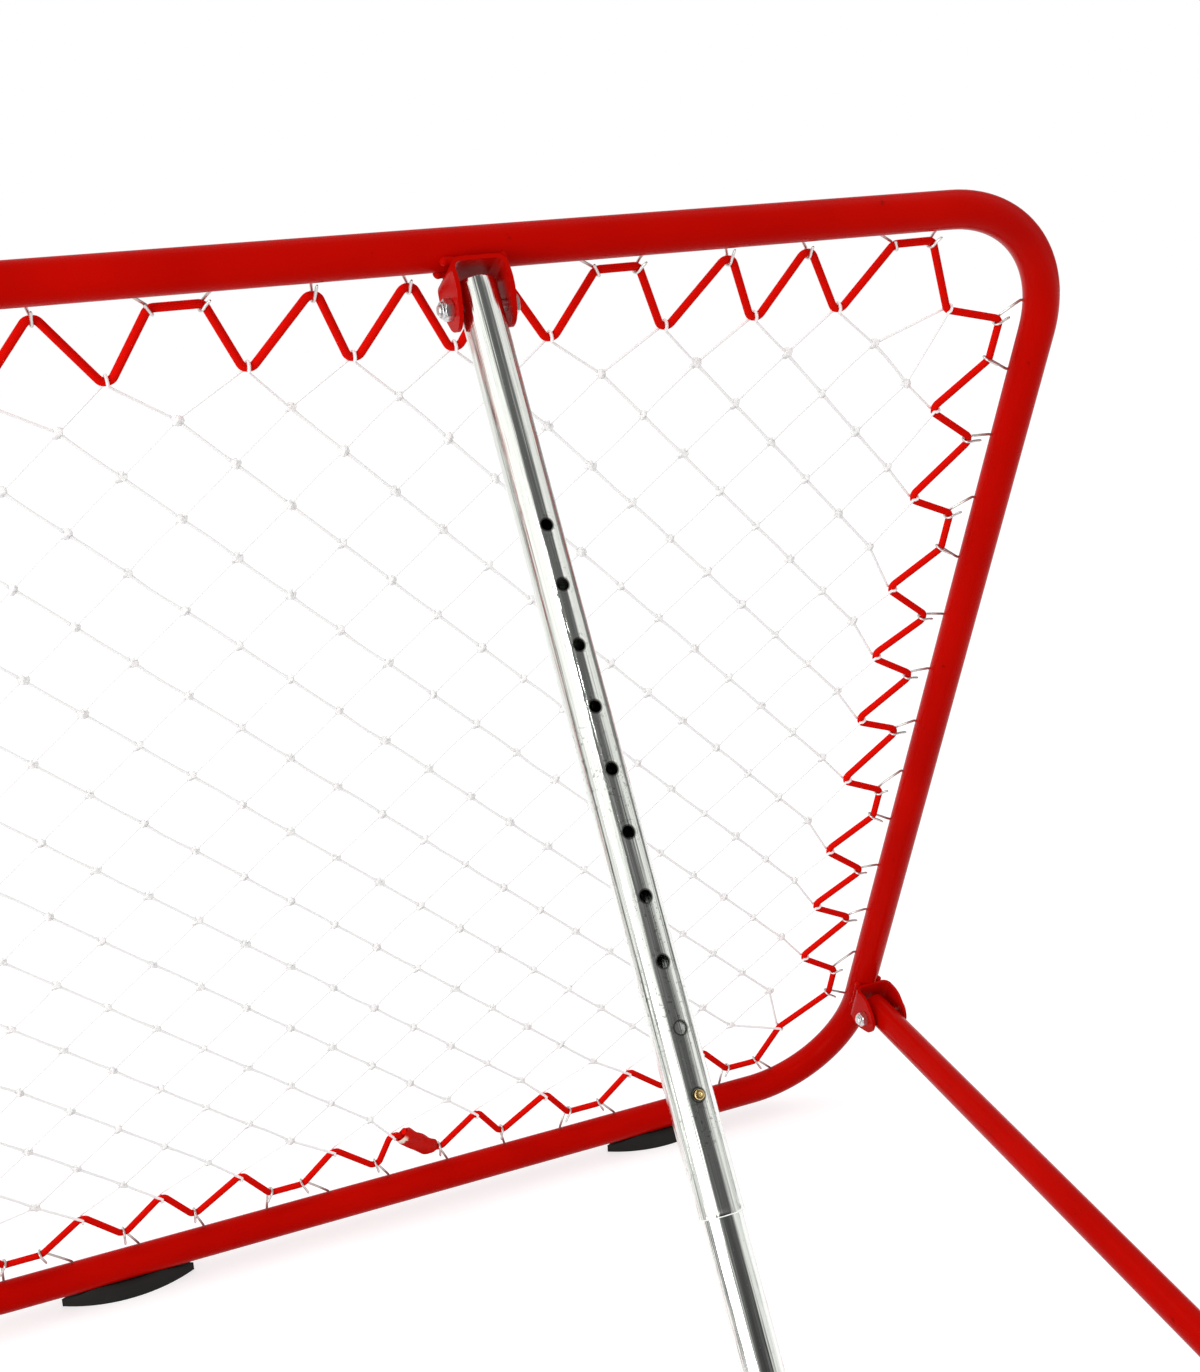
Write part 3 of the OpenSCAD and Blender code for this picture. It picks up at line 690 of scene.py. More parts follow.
class Shading:
    """A node tree that is written in expressions."""

    def __init__(self, tree: bpy.types.NodeTree) -> None:
        """Takes an emptied tree."""
        tree.nodes.clear()
        self.tree = tree
        self._coords: dict[str, Field] = {}

    def feed(self, socket: bpy.types.NodeSocket, value: Any) -> None:
        """Gives a socket a link, a number or a colour."""
        if isinstance(value, Field):
            self.tree.links.new(value.socket, socket)
        elif isinstance(value, (tuple, list)) and socket.type == "RGBA":
            socket.default_value = (*value[:3], 1.0)
        else:
            socket.default_value = value

    def node(
        self, kind: str, settings: dict[str, Any], inputs: dict[Any, Any], output: int | str = 0
    ) -> Field:
        """Adds a node.

        Args:
            kind: The node's type.
            settings: Its properties, which are set first. Stops are those of a colour ramp.
            inputs: Its inputs by number or name, as values or fields.
            output: The output that is returned.

        Returns:
            The chosen output.
        """
        made = self.tree.nodes.new(kind)
        for key, value in settings.items():
            if key == "stops":
                for i, (place, level) in enumerate(value):
                    stop = made.color_ramp.elements[i] if i < 2 else made.color_ramp.elements.new(place)
                    stop.position = place
                    stop.color = (*level, 1.0)
            else:
                setattr(made, key, value)
        for key, value in inputs.items():
            self.feed(made.inputs[key], value)
        return Field(self, made.outputs[output])

    def ray(self, kind: str) -> Field:
        """1 for rays of one kind, and 0 for others."""
        return self.node("ShaderNodeLightPath", {}, {}, f"Is {kind} Ray")

    def seen(self) -> Field:
        """1 for rays from the camera, through glass or off a mirror, and 0 for others."""
        return self.ray("Camera").high(self.ray("Glossy")).high(self.ray("Transmission"))

    def place(self, kind: str = "Object") -> Field:
        """Object or UV coordinates."""
        if kind not in self._coords:
            self._coords[kind] = self.node("ShaderNodeTexCoord", {}, {}, kind)
        return self._coords[kind]

    def axis(self, number: int, kind: str = "Object") -> Field:
        """One of the coordinates."""
        return self.node("ShaderNodeSeparateXYZ", {}, {0: self.place(kind)}, number)

    def stretched(self, lengths: Sequence[float], rotate: Sequence[float]) -> Field:
        """Coordinates of a turned space, in degrees, in which a pattern grows longer by these factors."""
        return self.node(
            "ShaderNodeMapping",
            {"vector_type": "TEXTURE"},
            {"Vector": self.place(), "Rotation": [math.radians(a) for a in rotate], "Scale": list(lengths)},
        )

    def noise(
        self, scale: float, detail: float = 3.0, roughness: float = 0.5, at: Field | None = None
    ) -> Field:
        """Smooth noise from 0 to 1.

        Args:
            scale: Spots in a metre, about.
            detail: How many finer layers it has.
            roughness: How strong those are.
            at: Coordinates, the object's own if left out.

        Returns:
            The noise.
        """
        return self.node(
            "ShaderNodeTexNoise",
            {"noise_dimensions": "3D"},
            {"Vector": at or self.place(), "Scale": scale, "Detail": detail, "Roughness": roughness},
        )

    def mix(self, mask: Any, low: Any, high: Any) -> Field:
        """A colour between two others.

        Args:
            mask: 0 gives low and 1 gives high.
            low: A colour or a field.
            high: A colour or a field.

        Returns:
            The mixed colour.
        """
        settings = {"data_type": "RGBA", "clamp_factor": True}
        return self.node("ShaderNodeMix", settings, {0: mask, 6: low, 7: high}, 2)

    def bump(
        self, height: Field, distance: float, strength: float = 1.0, under: Field | None = None
    ) -> Field:
        """A normal from a height.

        Args:
            height: The height, 0 to 1.
            distance: What a height of 1 stands for, in metres.
            strength: How much of it shows.
            under: Another bump below this one.

        Returns:
            The normal.
        """
        inputs: dict[Any, Any] = {"Height": height, "Distance": distance, "Strength": strength}
        if under is not None:
            inputs["Normal"] = under
        return self.node("ShaderNodeBump", {}, inputs)


class Finish(Shading):
    """A material built from a principled shader and expressions.

    Attributes:
        name: The material's name.
        slot: The record's material slot.
        fixed: Shader inputs that are the same all over.
    """

    name = ""
    slot = ""
    fixed: dict[str, Any] = {}

    def __init__(self) -> None:
        """Starts the material, sets its fixed inputs and lays those that vary."""
        self.material = bpy.data.materials.new(self.name)
        self.material.use_nodes = True
        super().__init__(self.material.node_tree)
        output = self.tree.nodes.new("ShaderNodeOutputMaterial")
        self.shader = self.tree.nodes.new("ShaderNodeBsdfPrincipled")
        self.tree.links.new(self.shader.outputs[0], output.inputs[0])
        for key, value in self.fixed.items():
            self.set(key, value)
        self.lay()

    def lay(self) -> None:
        """Lays the inputs that vary over the surface."""
        raise NotImplementedError

    def set(self, name: str, value: Any) -> None:
        """Sets or links one input of the shader."""
        self.feed(self.shader.inputs[name], value)


RED_SHEEN = (1.0, 0.3, 0.25)


class PowderCoat(Finish):
    """Glossy red powder coat: orange peel, faint mottling and a few dark chips."""

    name = "red_powder_coat"
    slot = "frame_paint"
    fixed = {"Specular IOR Level": 0.035, "Specular Tint": RED_SHEEN}

    def lay(self) -> None:
        """Lays the mottling, the chips and the peel."""
        cloud = self.noise(9.0, 3.0).between(0.3, 0.7)
        fine = self.noise(900.0, 2.0)
        chips = self.noise(85.0, 2.0, 0.6).between(0.73, 0.76)
        base = self.mix(cloud, (0.43, 0.0016, 0.0003), (0.49, 0.0024, 0.0004))
        base = self.mix(chips * 0.5, base, (0.16, 0.002, 0.001))
        self.set("Base Color", base)
        self.set("Roughness", 0.2 + fine * 0.1 + chips * 0.2)
        peel = self.noise(330.0, 2.0, 0.4)
        self.set("Normal", self.bump(peel, 0.0003, 0.35))


class ZincTube(Finish):
    """Bright zinc-plated tube: drawn streaks along it, fine pits, and uncoated cut edges painted near black
    as shade in the holes, with painted shade rings round the holes.
    """

    name = "zinc_tube"
    slot = "zinc_tube"
    fixed = {"Metallic": 1.0, "IOR": 2.0}

    def lay(self) -> None:
        """Lays streaks, pits and scuffs, the cut edges darkened by painted shade, and painted shade rings
        round the holes.
        """
        along = self.stretched((1.0, 1.0, 60.0), (STAND["tilt"], 0, 0))
        streak = self.noise(420.0, 3.0, 0.6, along)
        broad = self.noise(130.0, 2.0, 0.5, along)
        spangle = self.noise(90.0, 4.0, 0.65)
        pits = self.noise(650.0, 2.0, 0.7).between(0.66, 0.76)
        worn = self.noise(9.0, 3.0).between(0.52, 0.62)
        scuffs = worn * self.noise(420.0, 2.0, 0.6).between(0.60, 0.66)
        haze = self.noise(14.0, 3.0).between(0.35, 0.7)
        height, angle = self.axis(0, "UV"), self.axis(1, "UV")
        # cut edges: hole walls and tube ends, where the marks are zero; their near-black colour below is
        # painted shade in the holes, and their extra roughness is the uncoated steel
        bare_edge_shade = (height.absolute() + angle.absolute()).between(0.0, 0.002, 1.0, 0.0)
        up = (((height + SIZE.last_hole) / SIZE.hole_pitch + 0.5).fraction() - 0.5) * SIZE.hole_pitch
        side = (angle - math.pi / 2) * (SIZE.outer_d / 2)
        away = (up * up + side * side).power(0.5)
        first = -SIZE.last_hole
        last = first + (SIZE.hole_n - 1) * SIZE.hole_pitch
        holes = height.between(first - 24, first - 22) * height.between(last + 16, last + 18, 1.0, 0.0)
        rim = SIZE.hole_d / 2
        # painted shade: a dark ring on the outer skin at each hole's rim, standing for the shadow at the
        # hole's edge
        ring = away.between(rim - 0.5, rim + 0.1) * away.between(rim + 0.4, rim + 1.2, 1.0, 0.0) * holes
        specks = self.noise(330.0, 3.0, 0.7).between(0.54, 0.62)
        grime = away.between(rim + 0.2, rim + 7.0, 1.0, 0.0) * specks * holes
        base = self.mix(streak.between(0.3, 0.7), (0.80, 0.83, 0.79), (0.94, 0.955, 0.935))
        base = self.mix(spangle.between(0.5, 0.8) * 0.3, base, (0.68, 0.71, 0.67))
        base = self.mix((pits * 0.5).high(scuffs * 0.5).high(grime * 0.45), base, (0.20, 0.20, 0.18))
        # painted shade: the cut edges and the rings round the holes are mixed towards near black
        base = self.mix((bare_edge_shade * 0.8).high(ring * 0.85), base, (0.12, 0.12, 0.11))
        self.set("Base Color", base)
        self.set("Roughness", 0.07 + haze * 0.04 + spangle * 0.05 + pits * 0.2 + bare_edge_shade * 0.3)
        self.set("Normal", self.bump(streak, 0.0003, 1.0, self.bump(broad, 0.0009, 1.0)))


class ZincWire(Finish):
    """Hook wire: zinc at the tip, running into red paint and rust near the tube."""

    name = "hook_wire"
    slot = "zinc_wire"
    fixed = {"Roughness": 0.35, "IOR": 1.8}

    def lay(self) -> None:
        """Lays zinc that runs into paint along the wire."""
        along = self.axis(1, "UV")
        rough = self.noise(700.0, 2.0)
        painted = (along + rough * 6.0).between(8.0, 20.0, 1.0, 0.0)
        zinc = self.mix(rough, (0.55, 0.55, 0.53), (0.78, 0.78, 0.76))
        self.set("Base Color", self.mix(painted, zinc, (0.22, 0.035, 0.025)))
        self.set("Metallic", 0.9 - painted * 0.75)
        self.set("Roughness", 0.32 + painted * 0.2)


class FastenerZinc(Finish):
    """Bolts and nuts in blue-white zinc, with a faint turned grain."""

    name = "fastener_zinc"
    slot = "fasteners"
    fixed = {"Metallic": 1.0, "IOR": 2.0}

    def lay(self) -> None:
        """Lays the cloudy tone and the grain."""
        grain = self.noise(1500.0, 2.0, 0.6)
        cloud = self.noise(160.0, 2.0)
        self.set("Base Color", self.mix(cloud, (0.56, 0.57, 0.58), (0.78, 0.79, 0.78)))
        self.set("Roughness", 0.22 + grain * 0.14)
        self.set("Normal", self.bump(grain, 0.00005, 0.5))


class Brass(Finish):
    """Yellow brass of the snap button."""

    name = "button_brass"
    slot = "button_brass"
    fixed = {"Metallic": 1.0}

    def lay(self) -> None:
        """Lays the worn tone."""
        worn = self.noise(500.0, 3.0)
        self.set("Base Color", self.mix(worn, (0.66, 0.44, 0.16), (0.86, 0.66, 0.32)))
        self.set("Roughness", 0.2 + worn * 0.15)


class SpringSteel(Finish):
    """Blued leaf spring inside the strut."""

    name = "spring_steel"
    slot = "spring_steel"
    fixed = {"Metallic": 1.0}

    def lay(self) -> None:
        """Lays the blued tone."""
        tint = self.noise(90.0, 3.0)
        self.set("Base Color", self.mix(tint, (0.28, 0.29, 0.32), (0.45, 0.45, 0.46)))
        self.set("Roughness", 0.3 + tint * 0.15)


class NetTwine(Finish):
    """White twisted twine: slanting strands with a little painted shade in the grooves between them, and
    slight yellowing.
    """

    name = "net_twine"
    slot = "net_twine"
    fixed = {
        "Roughness": 0.75,
        "Subsurface Weight": 0.45,
        "Subsurface Scale": 0.0012,
        "Subsurface Radius": (1.0, 1.0, 1.0),
    }

    def lay(self) -> None:
        """Lays the strands, a little painted shade in their grooves, and the yellowing."""
        u, v = self.axis(0, "UV"), self.axis(1, "UV")
        lay = ((u * 3.0 + v * 0.42) * (2 * math.pi)).sine() * 0.5 + 0.5
        tone = self.noise(24.0, 3.0).between(0.35, 0.7)
        base = self.mix(tone, (0.96, 0.96, 0.95), (0.98, 0.97, 0.95))
        # painted shade: where the lay is low, in the grooves between strands, the white is mixed a little
        # darker
        self.set("Base Color", self.mix(lay.between(0.0, 0.35, 1.0, 0.0) * 0.06, base, (0.86, 0.84, 0.82)))
        self.set("Normal", self.bump(lay, 0.00012, 0.5))


class ElasticBraid(Finish):
    """Red braided jacket of the elastic cord: two families of slanting yarns that cross, with painted shade
    between them.
    """

    name = "elastic_braid"
    slot = "elastic"
    fixed = {"Specular IOR Level": 0.02, "Specular Tint": RED_SHEEN}

    def lay(self) -> None:
        """Lays the two families of yarns and painted shade in the hollows between them."""
        u, v = self.axis(0, "UV"), self.axis(1, "UV")
        one = ((u * 8.0 + v * 0.62) * (2 * math.pi)).sine()
        two = ((u * 8.0 - v * 0.62) * (2 * math.pi)).sine()
        weave = (one * two) * 0.5 + 0.5
        yarn_gap_shade = weave.between(0.25, 0.6)
        cloud = self.noise(40.0, 3.0)
        base = self.mix(cloud, (0.80, 0.004, 0.0015), (0.88, 0.006, 0.002))
        # painted shade: where the weave is low, in the hollows between yarns, the red is darker
        self.set("Base Color", self.mix(yarn_gap_shade, (0.56, 0.003, 0.001), base))
        self.set("Roughness", 0.62 + weave * 0.15)
        self.set("Normal", self.bump(weave, 0.0004, 0.7))


class SleeveWrap(Finish):
    """Red shrink wrap of the cord's joint, creased, darker in the creases' hollows as painted shade, and a
    little shiny.
    """

    name = "sleeve_wrap"
    slot = "splice_sleeve"
    fixed = {"Specular IOR Level": 0.2, "Specular Tint": RED_SHEEN}

    def lay(self) -> None:
        """Lays the creases with painted shade in their hollows, and the torn end."""
        crease = self.noise(120.0, 4.0, 0.6)
        # painted shade: the red is darker where the crease bump is low, in the hollows of the creases
        crease_shaded_wrap = self.mix(crease, (0.44, 0.003, 0.001), (0.62, 0.006, 0.002))
        torn = (self.axis(1, "UV") - self.noise(260.0, 2.0) * 9.0).between(12.5, 14.5)
        under = self.axis(0, "UV").between(0.48, 0.54) * self.axis(0, "UV").between(0.74, 0.80, 1.0, 0.0)
        self.set("Base Color", self.mix(torn * under, crease_shaded_wrap, (0.80, 0.74, 0.62)))
        self.set("Roughness", 0.38 + crease * 0.25)
        self.set("Normal", self.bump(self.noise(70.0, 3.0), 0.004, 0.8, self.bump(crease, 0.0008, 0.5)))


class FootRubber(Finish):
    """Black rubber, matt, with dust and a fine grain."""

    name = "foot_rubber"
    slot = "foot_rubber"
    fixed = {"Specular IOR Level": 0.2}

    def lay(self) -> None:
        """Lays the dust and the grain."""
        grain = self.noise(1200.0, 2.0)
        dust = self.noise(30.0, 4.0).between(0.5, 0.8)
        self.set("Base Color", self.mix(dust * 0.25, (0.009, 0.008, 0.007), (0.04, 0.037, 0.033)))
        self.set("Roughness", 0.5 + grain * 0.2)
        self.set("Normal", self.bump(grain, 0.0001, 0.6))


# The square frame


@dataclass
class SquareFrame:
    """The bent square tube with its brackets, bolts and feet.

    Attributes:
        size: The part's sizes.
        bend_steps: Rings in a bend.
        sides: Points in a ring.
        inset: How much smaller the radius is than the solid's, so that nothing stands proud of it.
    """

    size: Sizes
    bend_steps: int = 28
    sides: int = 56
    inset: float = 0.03

    def tube(self) -> Patch:
        """The square tube: a circle carried round a square path with quarter-circle corners."""
        s = self.size
        straight = s.half - s.corner_r
        a = arc(0, 90, self.bend_steps)
        corner = np.stack([straight + s.corner_r * np.cos(a), straight + s.corner_r * np.sin(a)], -1)
        path = np.concatenate([turned(corner, 90 * k) for k in range(4)])
        points = np.stack([path[:, 0], np.zeros(len(path)), path[:, 1] + s.half], -1)
        radius = s.frame_d / 2 - self.inset
        return tubes(points[None], radius, np.array([0.0, 1.0, 0.0]), self.sides, closed=True)

    def make(self, paint: Finish, zinc: Finish, rubber: Finish) -> None:
        """Adds the tube, brackets, bolts, nuts and feet of the square frame."""
        s = self.size
        add_piece("square_tube", [self.tube().placed(SQUARE)], Body.SQUARE, paint, ["frame_tube"])
        clevis = Clevis(s, s.frame_d)
        top = SQUARE @ Placing.of((-s.top_slope, 0, 0), (0, 0, 2 * s.half))
        add_piece("strut_bracket", clevis.patches(top), Body.SQUARE, paint, ["top_bracket"])
        for name, node, side in (
            ("hinge_bracket_r", "side_bracket_right", -1),
            ("hinge_bracket_l", "side_bracket_left", 1),
        ):
            place = SQUARE @ Placing.of(shift=(side * s.half, 0, s.hinge_h))
            add_piece(name, clevis.patches(place, standing=True), Body.SQUARE, paint, [node])
        bolts = Fastener(s)
        at_top = [(STRUT, 1)]
        bolts.make(("strut_top_bolt", "strut_top_nut"), ("top_bolt", "top_nut"), at_top, Body.SQUARE, zinc)
        pins = [Placing.of(shift=(side * s.half, s.bolt_out, s.hinge_h)) for side in SIDES]
        hinges = [(SQUARE @ pin, -side) for pin, side in zip(pins, SIDES)]
        bolts.make(("hinge_bolts", "hinge_nuts"), ("side_bolts", "side_nuts"), hinges, Body.SQUARE, zinc)
        feet = Feet(s).pair(STAND["bottom"][0], s.frame_d)
        add_piece("square_feet", feet, Body.SQUARE, rubber, ["frame_feet"])


@dataclass
class Clevis:
    """A clevis bent from plate, with two cheeks, a web against the tube, and weld beads.

    Attributes:
        size: The part's sizes.
        tube_d: The tube that it is welded to.
        slot: How much longer than round its bolt holes are.
        bend: Radius of the bends, in the middle of the plate.
        blend: How gently a cheek starts to taper.
        waist: How much narrower a cheek is at the web, as a share.
        waist_l: How far the waist reaches.
        columns: Grid lines across the plate, of which the middle ones stand round the hole.
    """

    size: Sizes
    tube_d: float
    slot: float = 0.0
    bend: float = 6.5
    blend: float = 6.0
    waist: float = 0.13
    waist_l: float = 18.0
    columns: int = 13

    def half_width(self, p: Array) -> Array:
        """Half the cheek's width at a distance p from the tube's axis.

        It is straight past the waist, and tapers to a blunt end whose corners are round.
        """
        s = self.size
        end = s.bolt_out + self.slot + s.cheek_past
        knee = s.bolt_out - 5
        taper = (s.cheek_w - s.cheek_end_w) / 2 / (end - knee)
        wide = s.cheek_w / 2 - taper * np.maximum(0, p - knee)
        wide = wide - taper * self.blend / 4 * np.exp(-(((p - knee) / self.blend) ** 2))
        r = s.cheek_r + 1.5
        past = np.clip((p - (end - r)) / r, 0, 1)
        web = self.tube_d / 2 + 1
        narrow = 1 - self.waist * (1 - smooth_step(p, web, web + self.waist_l))
        return wide * narrow - r * (1 - np.sqrt(np.maximum(0, 1 - past**2)))

    def sheet(self) -> Patch:
        """The bent plate: rows run along the U, columns across the plate."""
        s = self.size
        seat = self.tube_d / 2
        end = s.bolt_out + self.slot + s.cheek_past
        x_mid = (s.clevis_w + s.plate) / 2
        p_web = seat + s.plate / 2
        hole_u = end - s.bolt_out
        cheek_l = end - p_web - self.bend
        arc_l = self.bend * math.pi / 2
        web_l = 2 * (x_mid - self.bend)
        span = 2 * (cheek_l + arc_l) + web_l
        room = 6.2 + self.slot / 2
        middle = hole_u - self.slot / 2
        round_l = s.cheek_r * 1.3
        half_rows = np.concatenate([
            round_l * (1 - np.cos(arc(0, 90, 8)))[:-1],
            np.linspace(round_l, middle - room, 3)[:-1],
            np.linspace(middle - room, middle + room, 7)[:-1],
            np.linspace(middle + room, cheek_l, 6)[:-1],
            np.linspace(cheek_l, cheek_l + arc_l, 7)[:-1],
            np.linspace(cheek_l + arc_l, span / 2, 5),
        ])
        u = np.concatenate([half_rows, (span - half_rows[::-1])[1:]])
        v = np.linspace(-1, 1, self.columns)
        first = int(np.argmin(np.abs(u - (middle - room))))
        last = int(np.argmin(np.abs(u - (middle + room))))
        n = len(u) - 1

        def rim_at(centre: float, sign: float) -> Callable[[Array], Array]:
            """The edge of a round or long hole round a row coordinate."""

            def rim(a: Array) -> Array:
                """Points of the hole's edge in the given directions."""
                r = (s.bolt_d + (2 * s.slot_side if self.slot else 0.2)) / 2
                du, dz = np.cos(a) * r, np.sin(a) * r
                du = du + np.sign(np.cos(a)) * self.slot / 2 * (np.abs(np.cos(a)) > 1e-6)
                p = end - (middle + sign * du)
                return np.stack([centre + du, dz / self.half_width(np.abs(p))], -1)

            return rim

        def windows(_: int) -> list[Window]:
            """One hole in each cheek."""
            columns = (self.columns // 2 - 2, self.columns // 2 + 2)
            return [
                Window((first, last), columns, rim_at(middle, 1.0), (middle, 0.0)),
                Window((n - last, n - first), columns, rim_at(span - middle, -1.0), (span - middle, 0.0)),
            ]

        def skin(coords: Array, side: int) -> Array:
            """Carries (length along the U, fraction across) onto one face of the plate."""
            t = np.minimum(coords[:, 0], span - coords[:, 0])
            sign = np.where(coords[:, 0] <= span / 2, -1.0, 1.0)
            off = s.plate / 2 * (1 if side == 0 else -1)
            turn = np.clip((t - cheek_l) / arc_l, 0, 1) * math.pi / 2
            on_web = np.maximum(0, t - cheek_l - arc_l)
            reach = self.bend + off
            x = x_mid - self.bend + reach * np.cos(turn) - on_web
            p = np.where(t <= cheek_l, end - t, p_web + self.bend - reach * np.sin(turn))
            p_mid = np.where(t <= cheek_l, end - t, p_web + self.bend)
            z = coords[:, 1] * self.half_width(p_mid)
            return np.stack([sign * x, p, z], -1)

        return shell(u, v, windows, False, skin)

    def beads(self, standing: bool) -> list[Patch]:
        """Weld beads: bars along the web's edges whose radius swells with each drop."""
        s = self.size
        r = self.tube_d / 2
        t = np.linspace(0, 1, 60)
        drops = 2.2 + 0.45 * np.abs(np.sin(t * math.pi * 9)) + 0.35 * np.sin(t * 23 + 1)
        for height, place in ((0.9, 0.06), (0.7, 0.93)):
            drops = drops + height * np.exp(-(((t - place) / 0.05) ** 2))
        drops = drops * (1 - np.exp(-t * 60)) * (1 - np.exp(-(1 - t) * 60)) + 0.3
        one = np.ones_like(t)
        patches = []
        for side in SIDES:
            if standing:
                a, out = math.radians(52), r * 1.03
                line = (side * out * math.sin(a) * one, out * math.cos(a) * one, (t - 0.5) * (s.cheek_w - 3))
                across = np.array([1.0, 0.0, 0.0])
            else:
                a = 0.62
                y, z = r * math.cos(a) + 0.9, r * math.sin(a) + 0.2
                line = ((t - 0.5) * (s.clevis_w + 13), y * one, side * z * one)
                across = UP
            patches.append(tubes(np.stack(line, -1)[None], drops, across, 10))
        return patches

    def patches(self, place: Placing, standing: bool = False) -> list[Patch]:
        """The bracket and its beads in the part's space."""
        return [p.placed(place) for p in [self.sheet(), *self.beads(standing)]]


@dataclass
class Fastener:
    """A hexagon bolt and its lock nut, along x."""

    size: Sizes
    sides: int = 48

    @property
    def stack(self) -> float:
        """From the bracket's middle to the outside of a cheek."""
        return self.size.clevis_w / 2 + self.size.plate

    def hexagon(self, low: float, high: float, chamfer_low: float, chamfer_high: float) -> Patch:
        """A hexagon whose corners are cut by a cone: radius min(hexagon, cone) at each height."""
        s = self.size
        a = np.arange(self.sides) * 2 * np.pi / self.sides
        flat_r = s.hex_af / 2
        corner = flat_r / np.cos((a + np.pi / 6) % (np.pi / 3) - np.pi / 6)
        steps = np.array([0, 0.15, 0.35, 0.6, 0.9, 1.3])
        z = np.concatenate([low + steps, high - steps[::-1]])
        slope = 0.9 / math.tan(math.radians(30))
        cone_low = flat_r - chamfer_low + (z - low) * slope
        cone = np.minimum(cone_low, flat_r - chamfer_high + (high - z) * slope)
        r = np.minimum(corner[None], cone[:, None])
        r = np.concatenate([r[:1] * 0.02, r, r[-1:] * 0.02])
        return turned_rings(r, np.concatenate([z[:1], z, z[-1:]]), self.sides)

    def bolt(self, place: Placing, side: float) -> list[Patch]:
        """Head and shank, with the thread showing past the nut."""
        s = self.size
        r = s.bolt_d / 2
        end = self.stack + s.nut_h + s.bolt_past
        thin = 0.05
        thread = np.linspace(self.stack + 1, end - 0.8, 33)
        cut = r - 0.04 - 0.42 * (np.arange(33) % 2)
        profile = np.concatenate([
            [[thin, -self.stack - 0.5], [r - thin, -self.stack - 0.5], [r - thin, self.stack + 0.6]],
            np.stack([cut, thread], -1),
            [[r - 0.9, end], [thin, end]],
        ])
        at = place @ Placing.of((0, 90 * side, 0))
        head = self.hexagon(-self.stack - s.head_h + thin, -self.stack, 0.35, 0.05)
        return [head.placed(at), turned_rings(profile[:, :1], profile[:, 1], 28).placed(at)]

    def nut(self, place: Placing, side: float) -> list[Patch]:
        """Lock nut: hexagon with a round collar over its insert."""
        s = self.size
        r = s.bolt_d / 2 + 0.05
        rim = s.hex_af / 2 - 0.8
        low, high = self.stack, self.stack + s.nut_h
        body = self.hexagon(low, high - s.collar_h, 0.05, 0.4)
        a = arc(0, 90, 6)
        dome = np.stack([rim - 1 + np.cos(a), high - 1 + np.sin(a)], -1)
        foot = high - s.collar_h - 0.5
        profile = np.concatenate([[[rim, foot]], dome, [[r, high - 0.1], [r, foot]]])
        at = place @ Placing.of((0, 90 * side, 0))
        return [body.placed(at), turned_rings(profile[:, :1], profile[:, 1], 40).placed(at)]

    def make(
        self,
        names: tuple[str, str],
        nodes: tuple[str, str],
        places: Sequence[tuple[Placing, float]],
        body: Body,
        zinc: Finish,
    ) -> None:
        """Adds bolts as one piece and their nuts as another.

        Args:
            names: The names of the two pieces.
            nodes: The solids that they stand for.
            places: Each bolt's middle, and the side of its nut.
            body: The body that they ride on.
            zinc: Their material.
        """
        for name, node, form in zip(names, nodes, (self.bolt, self.nut)):
            patches = [patch for place, side in places for patch in form(place, side)]
            add_piece(name, patches, body, zinc, [node], sharp=30)


@dataclass
class Feet:
    """Rubber pads, lens-shaped in plan, that take a tube in a trough.

    Attributes:
        size: The part's sizes.
        stations: Sections along a pad.
        end_drop: How far a pad's top falls towards its ends.
    """

    size: Sizes
    stations: int = 41
    end_drop: float = 9.5

    def pad(self, tube_d: float) -> Patch:
        """One pad: a closed section carried along x, whose width follows the lens."""
        s = self.size
        top = s.foot_h + s.foot_up
        r = (s.foot_l**2 / s.foot_w + s.foot_w) / 4
        t = np.sin(np.linspace(-0.5, 0.5, self.stations) * math.pi)
        x = t * s.foot_l / 2
        wide = np.sqrt(np.maximum(0, r * r - x * x)) - (r - s.foot_w / 2) - 0.1
        wide = np.maximum(wide, 0.35)
        bend = np.array([0.3, 0.75, 0.93, 0.985])
        edge = np.array([1.0, 0.99, 0.97, 0.93])
        c = np.concatenate([np.linspace(-1, 1, 17), edge, np.linspace(0.86, -0.86, 21), -edge[::-1]])
        level = np.concatenate([np.zeros(17), bend, np.ones(21), bend[::-1]])[None]
        y = c[None] * (wide[:, None] - 0.055 * top * level * (np.abs(c[None]) > 0.9))
        tube_r = tube_d / 2 + 0.05
        sunk = np.sqrt(np.maximum(0, tube_r**2 - np.minimum(np.abs(y), tube_r) ** 2))
        trough = s.foot_h + tube_d / 2 - sunk
        crest = top - self.end_drop * smooth_step(np.abs(x), s.foot_l * 0.2, s.foot_l * 0.51)[:, None]
        z = np.where(level > 0.99, np.minimum(crest, trough), level * crest)
        points = np.stack([np.broadcast_to(x[:, None], y.shape), y, z], -1)
        quads, rows, columns = grid_faces(len(x), len(c), False, True)
        first = np.arange(len(c))[None]
        ends = [first, (first + (len(x) - 1) * len(c))[:, ::-1]]
        marks = [np.stack([columns / len(c), x[rows]], -1), *[np.zeros(e.shape + (2,)) for e in ends]]
        return Patch(points.reshape(-1, 3), [quads, *ends], marks).flipped()

    def pair(self, y: float, tube_d: float) -> list[Patch]:
        """The two pads under one tube."""
        s = self.size
        return [
            self.pad(tube_d).placed(Placing.of(shift=(side * (s.foot_in + s.foot_l / 2), y, 0)))
            for side in (-1, 1)
        ]


# The lacing: hooks, elastic cord, sleeve and net


